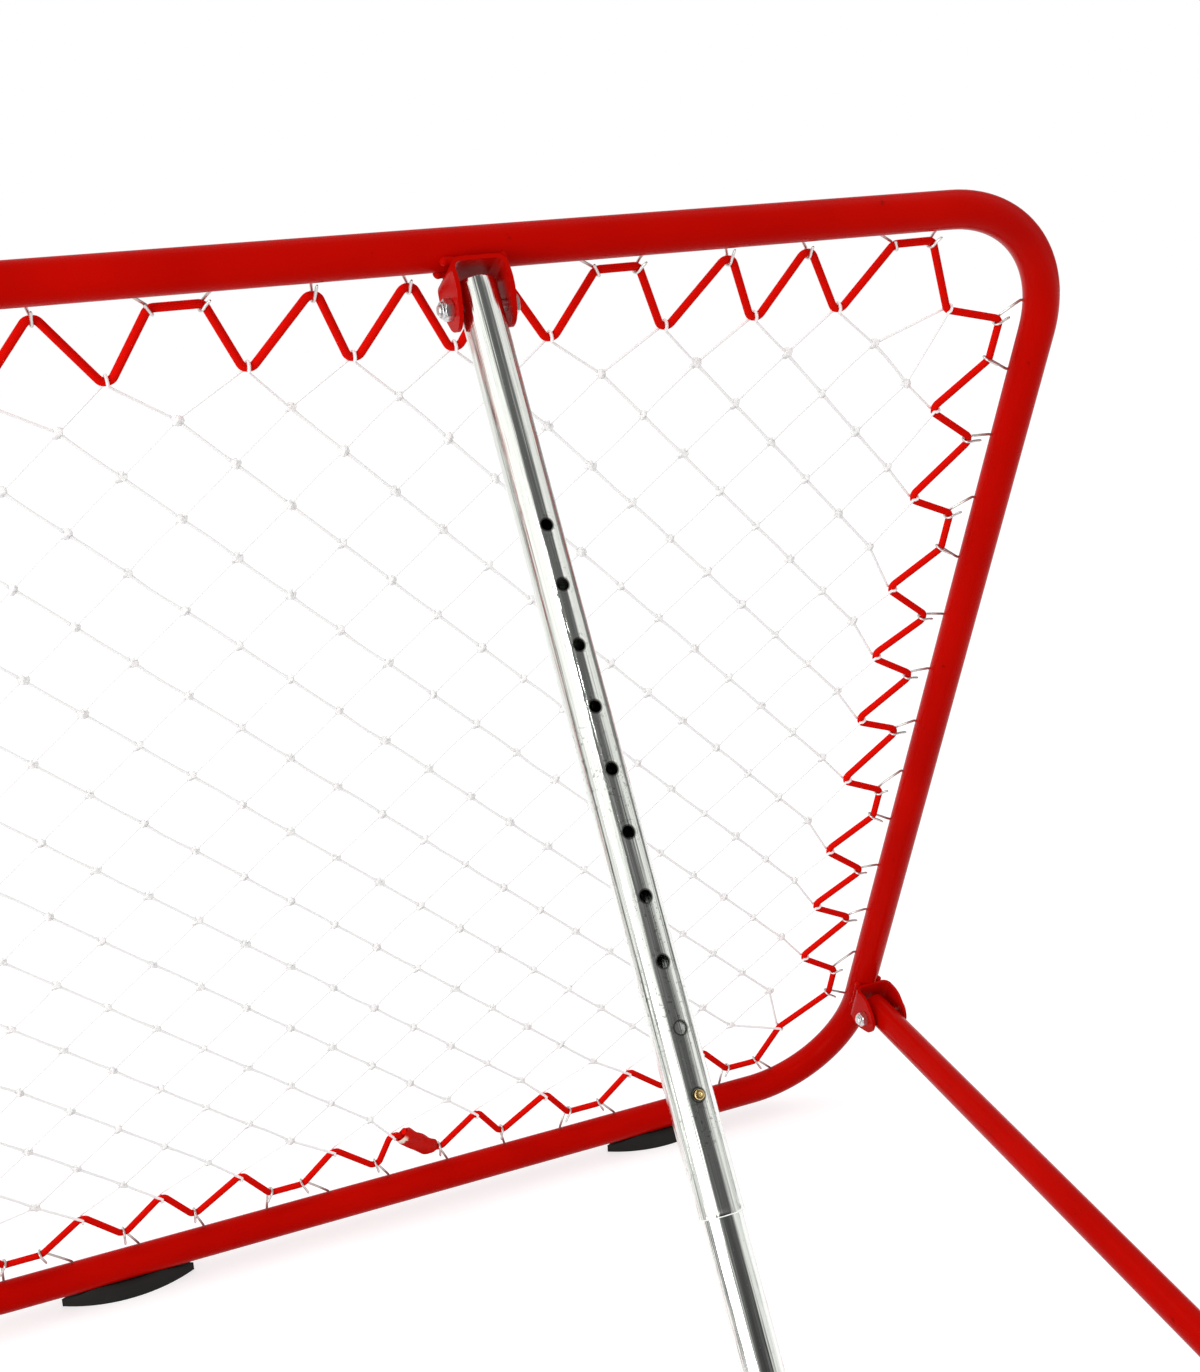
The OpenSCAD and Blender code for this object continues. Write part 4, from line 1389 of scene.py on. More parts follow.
@dataclass
class Lacing:
    """The cord's route through hooks and net loops, and what lies on it.

    Attributes:
        size: The part's sizes.
        turns: Each turn's place along a side in hook pitches, with 1 at a hook and 0 at a loop.
        bottom: The number of the bottom side.
        splice_turn: The turn on that side after which the sleeve lies.
        splice_push: How far that turn stands along the side, in hook pitches.
        cells: Half the meshes across the net.
        corner_steps: How often the bends' corners are worked out again.
        seed: The seed of the random draws.
    """

    size: Sizes
    turns: list[tuple[float, int]] = field(
        default_factory=lambda: [
            (-6.40, 1), (-5.83, 1), (-5.27, 0), (-4.62, 1), (-3.90, 0), (-3.42, 1), (-2.85, 1), (-2.38, 0),
            (-1.65, 1), (-1.18, 0), (-0.57, 1), (0.02, 0), (0.50, 1), (1.20, 0), (1.70, 1), (2.23, 1),
            (2.68, 0), (3.42, 1), (3.90, 0), (4.50, 1), (5.08, 0), (5.72, 1), (6.27, 1),
        ]
    )
    bottom: int = 2
    splice_turn: int = 11
    splice_push: float = 0.21
    cells: int = 10
    corner_steps: int = 8
    seed: int = 11

    def __post_init__(self) -> None:
        """Works out the turns of the cord in the plane of the net."""
        s = self.size
        hooks = [i for i, (_, kind) in enumerate(self.turns) if kind]
        self.hook_no = np.array(hooks)
        self.loop_no = np.array([i for i in range(len(self.turns)) if i not in hooks])
        self.pitch = (s.frame_size - s.hook_first - s.hook_last) / (len(hooks) - 1)
        self.per_side = len(self.turns) + 1
        at = []
        for k in range(4):
            corner = np.array([[s.half - s.corner_in, s.half - s.corner_in]])
            t = np.array([place for place, _ in self.turns])
            if k == self.bottom:
                t[self.splice_turn] += self.splice_push
            kind = np.array([kind for _, kind in self.turns])
            line = np.stack([-t * self.pitch, s.half - np.where(kind == 1, s.hook_in, s.loop_in)], -1)
            line = turned(line, 90 * k)
            line[kind == 0, 1] -= s.net_drop
            at.append(np.concatenate([turned(corner, 90 * k) - [0, s.net_drop], line]))
        self.at = np.concatenate(at)
        self.joint = self.bottom * self.per_side + self.splice_turn + 1
        self.lap = s.cord_d + s.lap_gap
        self.corner = self.at
        for _ in range(self.corner_steps):
            _, _, side, half = self._directions(self.corner)
            self.corner = self.at - side * (s.cord_bend * (1 / np.cos(half) - 1))[:, None]
        _, _, self.side, self.half = self._directions(self.corner)
        self.grid = (s.half - s.loop_in - s.edge_mesh) / self.cells

    def _directions(self, p: Array) -> tuple[Array, Array, Array, Array]:
        """Directions into and out of each turn and to the inside of its bend, and half its angle."""
        step = np.roll(p, -1, 0) - p
        out = unit(step)
        last = (self.joint - 1) % len(p)
        out[last] = turned(out[last], math.degrees(math.asin(self.lap / np.linalg.norm(step[last]))))
        into = np.roll(out, 1, 0)
        half = np.arccos(np.clip((into * out).sum(-1), -1, 1)) / 2
        return into, out, unit(out - into), half

    def knot(self, i: Array, j: Array) -> Array:
        """The place of a knot by its column and row."""
        return np.stack([i * self.grid, j * self.grid - self.size.net_drop], -1)

    def splice(self) -> tuple[Array, Array]:
        """Middle and direction of the straight run that the sleeve lies on."""
        _, out, _, half = self._directions(self.corner)
        last = (self.joint - 1) % len(self.corner)
        ends = self.size.cord_bend * np.tan(half[[last, self.joint]])
        middle = (self.corner[last] + self.corner[self.joint] + out[last] * (ends[0] - ends[1])) / 2
        return middle, out[last]

    def cord_path(self) -> Array:
        """The cord's middle line: an arc at every turn, and an end at each side of the sleeve."""
        s = self.size
        into, out, side, half = self._directions(self.corner)
        centre = self.corner + side * (s.cord_bend / np.cos(half))[:, None]
        forward = unit(into + out)
        t = np.linspace(-1, 1, 9)[None] * half[:, None]
        arcs = centre[:, None] + s.cord_bend * (
            -side[:, None] * np.cos(t)[..., None] + forward[:, None] * np.sin(t)[..., None]
        )
        arcs = np.roll(arcs, -self.joint, 0).reshape(-1, 2)
        middle, run = self.splice()
        aside = right_of(run) * self.lap / 2
        reach = run * (s.splice_l / 2 + 1)
        return np.concatenate([[middle + aside - reach], arcs, [middle - aside + reach]])

    def cord(self) -> Patch:
        """The elastic cord, thinned a little where a hook or a loop bites into it."""
        path = flat(self.cord_path())
        near = np.full(len(path), self.size.cord_d / 2)
        phase = (np.arange(len(path) - 2) % 9 - 4) / 4
        near[1:-1] -= 0.22 * np.exp(-((phase / 0.35) ** 2))
        return tubes(path[None], near, UP, 16)

    def sleeve(self) -> Patch:
        """The joint's sleeve: a stadium round both cord ends, drawn in and creased at its ends."""
        s = self.size
        middle, run = self.splice()
        n, m = 61, 48
        x = np.linspace(-s.splice_l / 2, s.splice_l / 2, n)
        a = np.arange(m) * 2 * np.pi / m
        r = s.cord_d / 2 + s.splice_wall + 2.0
        end = np.abs(x) / (s.splice_l / 2)
        rng = np.random.default_rng(self.seed)
        folds = np.zeros((n, m))
        for waves in (1, 2, 3, 5):
            height, start, twist = rng.uniform(0.4, 0.7), rng.uniform(0, 6), rng.uniform(-5, 5)
            folds += height * np.sin(waves * a[None] + start + twist * x[:, None] / s.splice_l * math.pi)
        tight = 1 - 0.16 * smooth_step(end, 0.72, 1.0)
        rr = r * tight[:, None] + folds * (0.6 + 0.4 * end[:, None]) - 0.25
        half_lap = self.lap / 2 * (1 - 0.25 * smooth_step(end, 0.75, 1.0))[:, None]
        y = rr * np.cos(a) + half_lap * np.tanh(3.5 * np.cos(a))
        z = rr * np.sin(a) * 0.92
        ragged = 0.7 * np.sin(3 * a[None] + x[:, None]) * smooth_step(end, 0.9, 1.0)[:, None]
        points = np.stack([x[:, None] + ragged, y, z], -1)
        quads, rows, columns = grid_faces(n, m, False, True)
        marks = np.stack([columns / m, x[rows]], -1)
        outer, inner = (
            Patch((points * scale).reshape(-1, 3), [quads], [marks]).flipped()
            for scale in (np.ones(3), np.array([1.0, 0.86, 0.84]))
        )
        turn = math.degrees(math.atan2(run[1], run[0]))
        return ring_wall(outer, inner, n, m).placed(Placing.of((0, 0, turn), (*middle, 0)))

    def hooks(self, k: int) -> Patch:
        """The hooks of one side: a stub in its hole, a shank, a half turn round the cord, a tip."""
        s = self.size
        numbers = k * self.per_side + self.hook_no + 1
        centre = flat(self.at[numbers])
        inner = flat(self.side[numbers])
        hole_t = -s.frame_size / 2 + s.hook_first + np.arange(len(numbers)) * self.pitch
        past = np.maximum(0, np.abs(hole_t) - (s.half - s.corner_r))
        tube_in = s.corner_r - np.sqrt(s.corner_r**2 - past**2)
        hole = turned(np.stack([-hole_t, s.half - tube_in], -1), 90 * k)
        inward = turned(np.array([0.0, -1.0]), 90 * k)
        drill = math.radians(s.hook_drill)

        def on_tube(r: float) -> Array:
            """Points on the drilled lines at a distance from the tube's axis."""
            return flat(hole + inward * r * math.cos(drill), r * math.sin(drill) - s.net_front)

        start = on_tube(s.frame_d / 2 - s.frame_wall - 1)
        bent = on_tube(s.frame_d / 2 + s.wire_d / 2 + 0.6)
        wrap_r = (s.cord_d + s.wire_d) / 2 + s.cord_gap - 0.25
        away = ((centre - bent) * inner).sum(-1)
        rise = bent[:, 2]
        more = np.pi / 2 - np.arctan2(rise, away) - np.arccos(wrap_r / np.hypot(away, rise))
        more = more[:, None]
        reach = centre + wrap_r * (UP * np.cos(more) - inner * np.sin(more))
        rng = np.random.default_rng(self.seed + k)
        a1 = bent + (start - bent) * 0.12
        a2 = bent + (reach - bent) * 0.1
        knee = [(1 - q) ** 2 * a1 + 2 * q * (1 - q) * bent + q * q * a2 for q in np.linspace(0, 1, 5)]
        shank = [a2 + (reach - a2) * q for q in (0.33, 0.66, 0.9)]
        bow = np.array([0.5, 0.6, 0.15]) * rng.uniform(0.3, 1.2, (len(numbers), 1))
        shank = [p + UP * bow[:, [i]] for i, p in enumerate(shank)]
        turn = [(1 - q) * -more + q * np.pi for q in np.linspace(0, 1, 15)]
        wrap = [centre + wrap_r * (inner * np.sin(a) + UP * np.cos(a)) for a in turn]
        flare = rng.uniform(0.5, 2.6, (len(numbers), 1))
        length = s.hook_tip * rng.uniform(0.8, 1.25, (len(numbers), 1))
        tip = [centre - UP * (wrap_r + flare * q * q) - inner * length * q for q in (0.3, 0.6, 0.85, 1.0)]
        path = np.stack([start, *knee, *shank, *wrap, *tip], 1)
        radius = np.full(path.shape[1], s.wire_d / 2)
        radius[-1] *= 0.55
        return tubes(path, radius, unit(np.cross(inner, UP)), 10).placed(NET)

    def net(self) -> list[Patch]:
        """Twine between knots, loops of twine over the cord, and the knots."""
        s = self.size
        n = self.cells
        i, j = np.meshgrid(np.arange(-n, n + 1), np.arange(-n, n + 1), indexing="ij")
        keep = (i + j) % 2 != 0
        i, j = i[keep], j[keep]
        rng = np.random.default_rng(self.seed)
        ends = []
        for di in (1, -1):
            ok = (j + 1 <= n) & (np.abs(i + di) <= n)
            ends.append(np.stack([self.knot(i[ok], j[ok]), self.knot(i[ok] + di, j[ok] + 1)], 1))
        ends = np.concatenate(ends)
        q = np.linspace(0, 1, 7)
        a, b = flat(ends[:, 0]), flat(ends[:, 1])
        path = a[:, None] + (b - a)[:, None] * q[None, :, None]
        sag = np.sin(q * math.pi)[None, :, None]
        for way, spread in ((np.cross(unit(b - a), UP), 0.45), (UP, 0.6)):
            path = path + sag * (way * rng.normal(0, spread, (len(a), 1)))[:, None]
        radius = s.twine_d / 2 * np.array([1.3, 1.08, 1.0, 0.98, 1.0, 1.08, 1.3])
        parts = [tubes(path, radius, UP, 6), self.loops(), self.knots(self.knot(i, j), rng)]
        return [p.placed(NET) for p in parts]

    def edge_knot(self, column: int, k: int) -> Array:
        """Column and row of a knot on the net's edge along side k."""
        return np.round(turned(np.array([-float(column), float(self.cells)]), 90 * k))

    def loops(self) -> Patch:
        """Twine from an edge knot over the front of the cord, round it and back to the next knot."""
        s = self.size
        n = self.cells
        turn_no, from_knot, to_knot = [], [], []
        for k in range(4):
            turn_no.append(k * self.per_side)
            from_knot.append(self.edge_knot(n - 1, (k + 3) % 4))
            to_knot.append(self.edge_knot(1 - n, k))
            for m, turn in enumerate(self.loop_no):
                turn_no.append(k * self.per_side + turn + 1)
                from_knot.append(self.edge_knot(2 * m + 1 - n, k))
                to_knot.append(self.edge_knot(2 * m + 3 - n, k))
        a, b = np.array(from_knot), np.array(to_knot)
        centre = flat(self.at[turn_no])
        out = -flat(self.side[turn_no])
        wrap_r = (s.cord_d + s.twine_d) / 2 - 0.1
        arc_points = [centre + wrap_r * (out * math.cos(t) + UP * math.sin(t)) for t in arc(62, 298, 10)]
        first = flat(self.knot(a[:, 0], a[:, 1]))
        last = flat(self.knot(b[:, 0], b[:, 1]))
        lead = [first + (arc_points[0] - first) * q for q in (0.0, 0.3, 0.6, 0.85)]
        tail = [arc_points[-1] + (last - arc_points[-1]) * q for q in (0.15, 0.4, 0.7, 1.0)]
        path = np.stack([*lead, *arc_points, *tail], 1)
        return tubes(path, s.twine_d / 2 * 0.92, np.cross(out, UP), 6)

    def knots(self, places: Array, rng: np.random.Generator) -> Patch:
        """Small lumps: a flattened ball with two crossing turns of twine standing out of it."""
        s = self.size
        rows, columns = 7, 10
        lat = np.linspace(-0.5, 0.5, rows) * math.pi
        lon = np.arange(columns) * 2 * math.pi / columns
        k = len(places)
        spin = rng.uniform(0, math.pi, k)[:, None, None]
        swell = 1 + 0.2 * np.cos(2 * lon[None, None] + 3 * lat[None, :, None] + 2 * spin)
        r = s.knot_d / 2 * rng.uniform(1.1, 1.36, k)[:, None, None] * swell
        x = r * np.cos(lat)[None, :, None] * np.cos(lon)[None, None]
        y = r * np.cos(lat)[None, :, None] * np.sin(lon)[None, None]
        z = s.knot_h / 2 * 1.15 * swell * np.sin(lat)[None, :, None] * np.ones_like(x)
        z[:, [0, -1]] = z[:, [0, -1]].mean(-1, keepdims=True)
        stretch = rng.uniform(0.85, 1.15, k)[:, None, None]
        points = np.stack([x * stretch, y / stretch, z], -1)
        turn = np.degrees(rng.uniform(0, 2 * math.pi, k))[:, None, None]
        points = np.concatenate([turned(points, turn), points[..., 2:]], -1) + flat(places)[:, None, None]
        quads, row_no, column_no = grid_faces(rows, columns, False, True)
        offset = np.arange(k)[:, None, None] * rows * columns
        marks = np.stack([column_no / columns, row_no * 1.6], -1)
        return Patch(
            points.reshape(-1, 3),
            [(quads[None] + offset).reshape(-1, 4)[:, ::-1]],
            [np.broadcast_to(marks, (k,) + marks.shape).reshape(-1, 4, 2)[:, ::-1]],
        )

    def make(self, wire: Finish, twine: Finish, braid: Finish, wrap: Finish) -> None:
        """Adds the hooks, the cord, its sleeve and the net."""
        for k, name in enumerate(("top", "right", "bottom", "left")):
            add_piece(f"hook_row_{name}", [self.hooks(k)], Body.SQUARE, wire, [f"hooks_{name}"])
        add_piece("laced_cord", [self.cord().placed(NET)], Body.SQUARE, braid, ["elastic_cord"])
        add_piece("cord_sleeve", [self.sleeve().placed(NET)], Body.SQUARE, wrap, ["cord_splice"])
        add_piece("knotted_net", self.net(), Body.SQUARE, twine, ["net"], merge=0.0)


# The base


@dataclass
class Base:
    """The U of tube on the floor, with its bracket and feet."""

    size: Sizes
    sides: int = 52
    bend_steps: int = 26

    def tube(self) -> Patch:
        """The U tube: two skins carried along one path, closed at both open ends."""
        s = self.size
        a = arc(0, 90, self.bend_steps)
        straight = s.half - s.base_corner_r
        far = s.base_len - s.base_corner_r
        right = np.stack([straight + s.base_corner_r * np.cos(a), far + s.base_corner_r * np.sin(a)], -1)
        left = right[::-1] * np.array([-1.0, 1.0])
        lead = -s.tube_past + np.array([0.0, 0.25, 0.6])
        start = np.stack([np.full(3, s.half), lead], -1)
        path = np.concatenate([start, right, left, start[::-1] * np.array([-1.0, 1.0])])
        radius = np.full(len(path), s.base_d / 2)
        radius[[0, -1]] -= 0.35
        radius[[1, -2]] -= 0.1
        bore = s.base_d / 2 - s.base_wall
        outer, inner = (tubes(flat(path)[None], r, UP, self.sides, caps=False) for r in (radius, bore))
        return ring_wall(outer, inner, len(path), self.sides)

    def make(self, paint: Finish, rubber: Finish) -> None:
        """Adds the base's tube, bracket and feet."""
        s = self.size
        add_piece("base_u_tube", [self.tube().placed(BASE)], Body.BASE, paint, ["base_tube"])
        place = BASE @ Placing.of((180 - s.rear_slope, 0, 0), (0, s.base_len, 0))
        bracket = Clevis(s, s.base_d, s.slot_play).patches(place)
        add_piece("base_bracket", bracket, Body.BASE, paint, ["rear_bracket"])
        feet = Feet(s).pair(STAND["rear"][0], s.base_d)
        add_piece("base_pads", feet, Body.BASE, rubber, ["base_feet"])


# The strut


@dataclass
class Strut:
    """The telescopic strut: two tubes, a snap button and its leaf spring.

    Attributes:
        size: The part's sizes.
        sides: Points in a ring of the tubes.
        margin: The least room between a hole's rim and the edge of its window.
        seam: Where a tube's grid starts, in radians, away from all holes.
    """

    size: Sizes
    sides: int = 64
    margin: float = 1.4
    seam: float = -0.75 * math.pi

    def in_bore(self, half_width: float) -> float:
        """How far from the axis the inner tube has room for something of this half width."""
        s = self.size
        return math.sqrt((s.inner_d / 2 - s.inner_wall - s.leaf_gap) ** 2 - half_width**2)

    def pierced_tube(
        self,
        top: float,
        bottom: float,
        radius: float,
        wall: float,
        holes: Sequence[tuple[float, float, float]],
        lip: float,
    ) -> Patch:
        """A tube along z with round holes drilled through its wall.

        Args:
            top: Its upper end.
            bottom: Its lower end.
            radius: Its outside radius.
            wall: Its wall.
            holes: Each hole's height, diameter and direction in degrees about z.
            lip: How much the lower end swells.

        Returns:
            The tube with holes, walls and rounded ends. The marks are the height and the angle.
        """
        step = 2 * math.pi / self.sides
        cell = step * radius
        rows = [*(bottom + np.array([0, 0.3, 0.9, 2.4, 5.0])), *(top - np.array([0.9, 0.3, 0]))]
        wides = [math.ceil((d / 2 + self.margin) / cell) for _, d, _ in holes]
        for (z, _, _), wide in zip(holes, wides):
            rows += list(np.linspace(z - wide * cell, z + wide * cell, 2 * wide + 1))
        u = np.unique(np.round(rows, 5))
        v = np.arange(self.sides) * step + self.seam

        def drilled(z: float, d: float, middle: float, r: float) -> Callable[[Array], Array]:
            """The edge of a straight drilled hole on a cylinder of radius r."""

            def rim(a: Array) -> Array:
                """Points of the hole's edge in the given directions."""
                a = np.arctan2(np.sin(a) * radius, np.cos(a))
                return np.stack([z + d / 2 * np.cos(a), middle + np.arcsin(d / 2 * np.sin(a) / r)], -1)

            return rim

        def windows(side: int) -> list[Window]:
            """The holes of one skin."""
            made = []
            for (z, d, turn), wide in zip(holes, wides):
                middle = math.radians(turn)
                j = round((middle - self.seam) / step)
                lines = tuple(int(np.argmin(np.abs(u - z - end * wide * cell))) for end in SIDES)
                rim = drilled(z, d, middle, radius - wall * side)
                made.append(Window(lines, (j - wide, j + wide), rim, (z, middle)))
            return made

        def skin(coords: Array, side: int) -> Array:
            """Carries (height, angle) onto one skin, with rounded ends."""
            z, a = coords[:, 0], coords[:, 1]
            r = np.full(len(z), radius - wall * side)
            if side == 0:
                r = r - 0.45 * (1 - smooth_step(top - z, 0, 0.9))
                r = r - 0.3 * (1 - smooth_step(z - bottom, 0, 0.5))
                r = r + lip * np.exp(-(((z - bottom - 1.2) / 1.2) ** 2))
            return np.stack([r * np.cos(a), r * np.sin(a), z], -1)

        return shell(u, v, windows, True, skin).flipped()

    def button(self) -> Patch:
        """The snap button: pin, chamfer, dished top and foot, turned about its axis."""
        s = self.size
        foot = self.in_bore(s.button_foot_d / 2) - s.button_foot_t
        top = s.outer_d / 2 + s.button_up
        r = s.button_d / 2
        a = arc(0, 80, 5)
        edge = np.stack([r - 0.8 + 0.8 * np.cos(a), top - 0.8 + 0.8 * np.sin(a)], -1)
        thin = 0.03
        across = np.linspace(1.5, thin, 6)
        dish = np.stack([across, top - 0.8 * np.cos(across / 1.5 * math.pi / 2)], -1)
        foot_r, step = s.button_foot_d / 2, foot + s.button_foot_t
        profile = np.concatenate([[[thin, foot], [foot_r, foot], [foot_r, step], [r, step]], edge, dish])
        return turned_rings(profile[:, :1], profile[:, 1], 32)

    def leaf(self) -> Patch:
        """The folded leaf spring: a strip carried along a V with a round fold."""
        s = self.size
        t = s.leaf_t / 2
        foot = self.in_bore(s.button_foot_d / 2) - s.button_foot_t - t
        back = t - self.in_bore(s.leaf_w / 2)
        pad = s.button_foot_d / 2
        a, r = arc(90, -90, 8), s.leaf_bend - t
        fold = np.stack([s.leaf_l - s.leaf_bend + r * np.cos(a), r * np.sin(a)], -1)
        line = np.concatenate([[[-pad, foot], [0, foot], [pad, foot]], fold, [[-pad, back]]])
        d = np.gradient(line, axis=0)
        normal = unit(np.stack([-d[:, 1], d[:, 0]], -1))
        n = len(line)
        profile = np.concatenate([line + normal * t, (line - normal * t)[::-1]])
        wide = 5
        x = np.linspace(-s.leaf_w / 2, s.leaf_w / 2, wide)
        shape = (2 * n, wide)
        points = np.stack([np.broadcast_to(c, shape) for c in (x[None], profile[:, 1:], profile[:, :1])], -1)
        quads, rows, columns = grid_faces(2 * n, wide, True, False)
        marks = np.stack([columns / wide, rows * 1.0], -1)
        side = np.arange(n - 1)
        cap = np.stack([side, 2 * n - 1 - side, 2 * n - 2 - side, side + 1], -1) * wide
        caps = np.concatenate([cap[:, ::-1], cap + wide - 1])
        return Patch(points.reshape(-1, 3), [quads, caps], [marks, np.zeros(caps.shape + (2,))])

    def make(self, tube: Finish, zinc: Finish, brass: Finish, spring: Finish) -> None:
        """Adds the tubes, the button, its spring and the rear bolt."""
        s = self.size
        bolt_hole = s.bolt_d + 0.2
        ends = [[(z, bolt_hole, turn) for turn in (0.0, 180.0)] for z in (0.0, -s.strut_len)]
        holes = [(-s.last_hole + i * s.hole_pitch, s.hole_d, 90.0) for i in range(s.hole_n)]
        lock = -s.last_hole
        low = lock - s.outer_past
        outer = self.pierced_tube(s.tube_past, low, s.outer_d / 2, s.outer_wall, holes + ends[0], 0.4)
        outer = outer.placed(STRUT)
        add_piece("strut_outer", [outer], Body.STRUT_OUTER, tube, ["strut_outer_tube"], sharp=35)
        holes = [(lock, s.button_d + 0.16, 90.0)]
        high, low = lock + s.inner_past, -s.strut_len - s.tube_past
        inner = self.pierced_tube(high, low, s.inner_d / 2, s.inner_wall, holes + ends[1], 0.0)
        inner = inner.placed(STRUT)
        add_piece("strut_inner", [inner], Body.STRUT_INNER, tube, ["strut_inner_tube"], sharp=35)
        button = self.button().placed(STRUT @ Placing.of((-90, 0, 0), (0, 0, lock)))
        add_piece("strut_button", [button], Body.BUTTON, brass, ["snap_button"], sharp=30)
        leaf = self.leaf().placed(STRUT @ Placing.of(shift=(0, 0, lock)))
        add_piece("strut_leaf", [leaf], Body.STRUT_INNER, spring, ["button_spring"], sharp=30)
        foot = STRUT @ Placing.of(shift=(0, 0, -s.strut_len))
        names = ("strut_foot_bolt", "strut_foot_nut")
        Fastener(s).make(names, ("rear_bolt", "rear_nut"), [(foot, 1)], Body.STRUT_INNER, zinc)


# The studio


def matrix_of(axes: Sequence[Array], place: Array) -> Matrix:
    """A matrix whose columns are three axes and a place in metres."""
    return Matrix([*np.column_stack([*axes, place]).tolist(), [0.0, 0.0, 0.0, 1.0]])


class StudioWhite(Finish):
    """White floor paint that glows a little where the camera or a mirror sees it."""

    name = "studio_white"
    fixed = {"Roughness": 0.9, "Specular IOR Level": 0.0, "Emission Color": (1.0, 1.0, 1.0)}
    glow = 0.56

    def lay(self) -> None:
        """Lays a faint cloud and the glow."""
        tone = self.noise(1.5, 2.0)
        self.set("Base Color", self.mix(tone, (0.58, 0.575, 0.58), (0.60, 0.595, 0.60)))
        self.set("Emission Strength", self.seen() * self.glow)


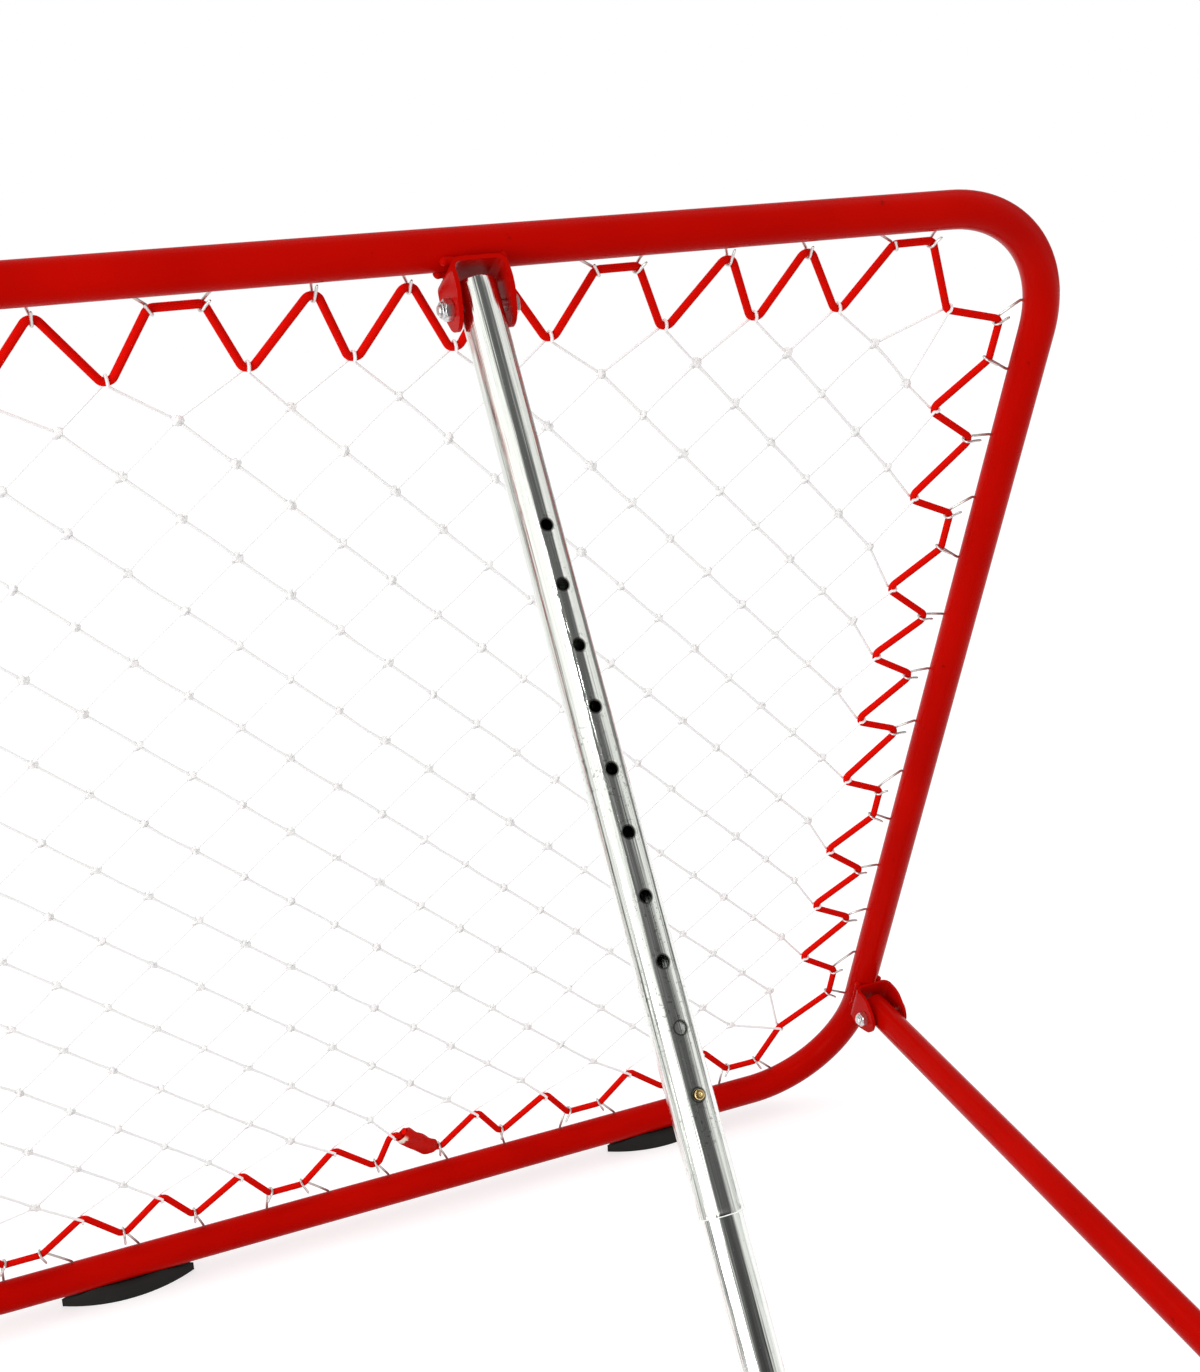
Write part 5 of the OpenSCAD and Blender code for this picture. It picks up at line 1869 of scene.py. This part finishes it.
@dataclass
class Studio:
    """Floor, light and camera.

    Attributes:
        size: The part's sizes.
        focal_px: The camera's focal length in pixels of the photograph.
        eye: Where the camera stands, in the square's space.
        view: The camera's right, down and ahead in the square's space, seen from behind it.
        image_h: The photograph's height in pixels.
        sensor_h: The camera's sensor in millimetres.
        ambient: How bright the even light is.
        floor_x: Where the floor starts and ends, in metres.
        floor_y: The same across.
        bands: What polished metal sees round the strut: degrees from the camera's side, and level.
        top_level: The level that the ramp's white stands for.
    """

    size: Sizes
    focal_px: float = 1825.6
    eye: tuple[float, float, float] = (411.8, 1051.26, 1467.54)
    view: tuple[tuple[float, float, float], ...] = (
        (-0.91351383, 0.39398261, 0.10134195),
        (0.16367813, 0.5840244, -0.79506287),
        (-0.37242712, -0.70971346, -0.59800071),
    )
    image_h: float = 1372.0
    sensor_h: float = 36.0
    ambient: float = 0.90
    floor_x: tuple[float, float] = (-6.0, 0.9)
    floor_y: tuple[float, float] = (-6.0, 3.0)
    bands: tuple[tuple[float, float], ...] = (
        (-180, 0.45), (-140, 0.95), (-106, 0.90), (-101, 0.14), (-93, 0.12), (-87, 0.80), (-76, 0.90),
        (-66, 1.15), (-12, 1.15), (-4, 0.24), (8, 0.07), (22, 0.015), (38, 0.05), (52, 0.35), (60, 0.88),
        (96, 0.85), (102, 0.22), (128, 0.16), (142, 0.5), (180, 0.45),
    )
    top_level: float = 1.2

    def floor(self) -> None:
        """A white floor, which turns into the white background and still keeps the part's shadow."""
        lines = [np.linspace(*ends, 13) for ends in (self.floor_x, self.floor_y)]
        points = flat(np.stack(np.meshgrid(*lines, indexing="ij"), -1).reshape(-1, 2))
        quads, _, _ = grid_faces(13, 13, False, False)
        mesh = bpy.data.meshes.new("studio_floor")
        mesh.from_pydata(points.tolist(), [], quads.tolist())
        mesh.materials.append(StudioWhite().material)
        floor = bpy.data.objects.new("studio_floor", mesh)
        bpy.context.scene.collection.objects.link(floor)

    def camera(self) -> None:
        """The camera, where the tubes of the square line up with the photograph."""
        data = bpy.data.cameras.new("view")
        data.sensor_fit = "VERTICAL"
        data.sensor_height = self.sensor_h
        data.lens = self.focal_px * self.sensor_h / self.image_h
        data.clip_end = 60.0
        camera = bpy.data.objects.new("view", data)
        right, down, ahead = np.array(self.view) @ SQUARE.turn.T
        camera.matrix_world = matrix_of((right, -down, -ahead), SQUARE(np.array(self.eye)) * MM)
        bpy.context.scene.collection.objects.link(camera)
        bpy.context.scene.camera = camera

    def lamp(
        self, name: str, place: Sequence[float], target: Sequence[float], power: float, size: float
    ) -> None:
        """Adds a square soft light that faces a target.

        Args:
            name: The lamp's name.
            place: Where it stands.
            target: Where it points.
            power: Its power in watts.
            size: Its side in metres.
        """
        data = bpy.data.lights.new(name, "AREA")
        data.energy, data.size = power, size
        lamp = bpy.data.objects.new(name, data)
        direction = unit(np.array(target, float) - np.array(place, float))
        side = unit(np.cross(direction, UP))
        lamp.matrix_world = matrix_of((side, np.cross(side, direction), -direction), np.array(place))
        bpy.context.scene.collection.objects.link(lamp)

    def world(self) -> None:
        """White surroundings for the camera, an even light, and light and dark bands for metal.

        The bands stand round the strut's axis: the angle from the camera's side picks the level,
        as soft boxes and the dark room behind the camera would.
        """
        world = bpy.data.worlds.new("studio")
        world.use_nodes = True
        bpy.context.scene.world = world
        sky = Shading(world.node_tree)
        axis = STRUT.turn @ UP
        eye = SQUARE(np.array(self.eye)) - SQUARE(UP * self.size.half)
        front = unit(eye - axis * (eye @ axis))
        ahead, aside = (
            sky.node(
                "ShaderNodeVectorMath",
                {"operation": "DOT_PRODUCT"},
                {0: sky.place("Generated"), 1: list(v)},
                "Value",
            )
            for v in (front, np.cross(axis, front))
        )
        turn = sky.node("ShaderNodeMath", {"operation": "ARCTAN2"}, {0: aside, 1: ahead})
        low = sky.axis(2, "Generated").between(0.2, 0.7, 1.0, 0.0)
        turn = turn + low * turn.between(-1.1, -0.5) * turn.between(0.0, 0.8, 1.0, 0.0) * 0.38
        levels = [((a + 180) / 360, v / self.top_level) for a, v in self.bands]
        ramp = sky.node(
            "ShaderNodeValToRGB",
            {"stops": [(place, (level, level, level * 0.97)) for place, level in levels]},
            {0: turn * (0.5 / math.pi) + 0.5},
        )
        bands = sky.node("ShaderNodeVectorMath", {"operation": "SCALE"}, {0: ramp, "Scale": self.top_level})
        bands = sky.mix(low * -0.09 + 0.09, bands, (1.0, 1.0, 1.0))
        even = sky.mix(sky.ray("Camera"), (self.ambient,) * 3, (1.0, 1.0, 1.0))
        out = sky.tree.nodes.new("ShaderNodeOutputWorld")
        back = sky.node("ShaderNodeBackground", {}, {0: sky.mix(sky.ray("Glossy"), even, bands)})
        sky.feed(out.inputs[0], back)

    def make(self) -> None:
        """Adds the studio and sets the view transform."""
        self.floor()
        self.camera()
        self.world()
        self.lamp("key", (1.6, -1.6, 3.4), (0, 0, 0.4), 14.0, 1.6)
        self.lamp("side", (2.9, 1.3, 0.6), (0, 0, 0.5), 44.0, 1.8)
        self.lamp("spot", (1.1, 1.7, 2.5), (0, 0, 0.4), 5.0, 0.25)
        bpy.context.scene.view_settings.view_transform = "Standard"


def main() -> None:
    """Builds every sub-assembly in order, then the studio."""
    logging.basicConfig(level=logging.INFO, format="%(message)s")
    paint, zinc, rubber, tube = PowderCoat(), FastenerZinc(), FootRubber(), ZincTube()
    SquareFrame(SIZE).make(paint, zinc, rubber)
    Base(SIZE).make(paint, rubber)
    Strut(SIZE).make(tube, zinc, Brass(), SpringSteel())
    Lacing(SIZE).make(ZincWire(), NetTwine(), ElasticBraid(), SleeveWrap())
    Studio(SIZE).make()


if __name__ == "__main__":
    main()
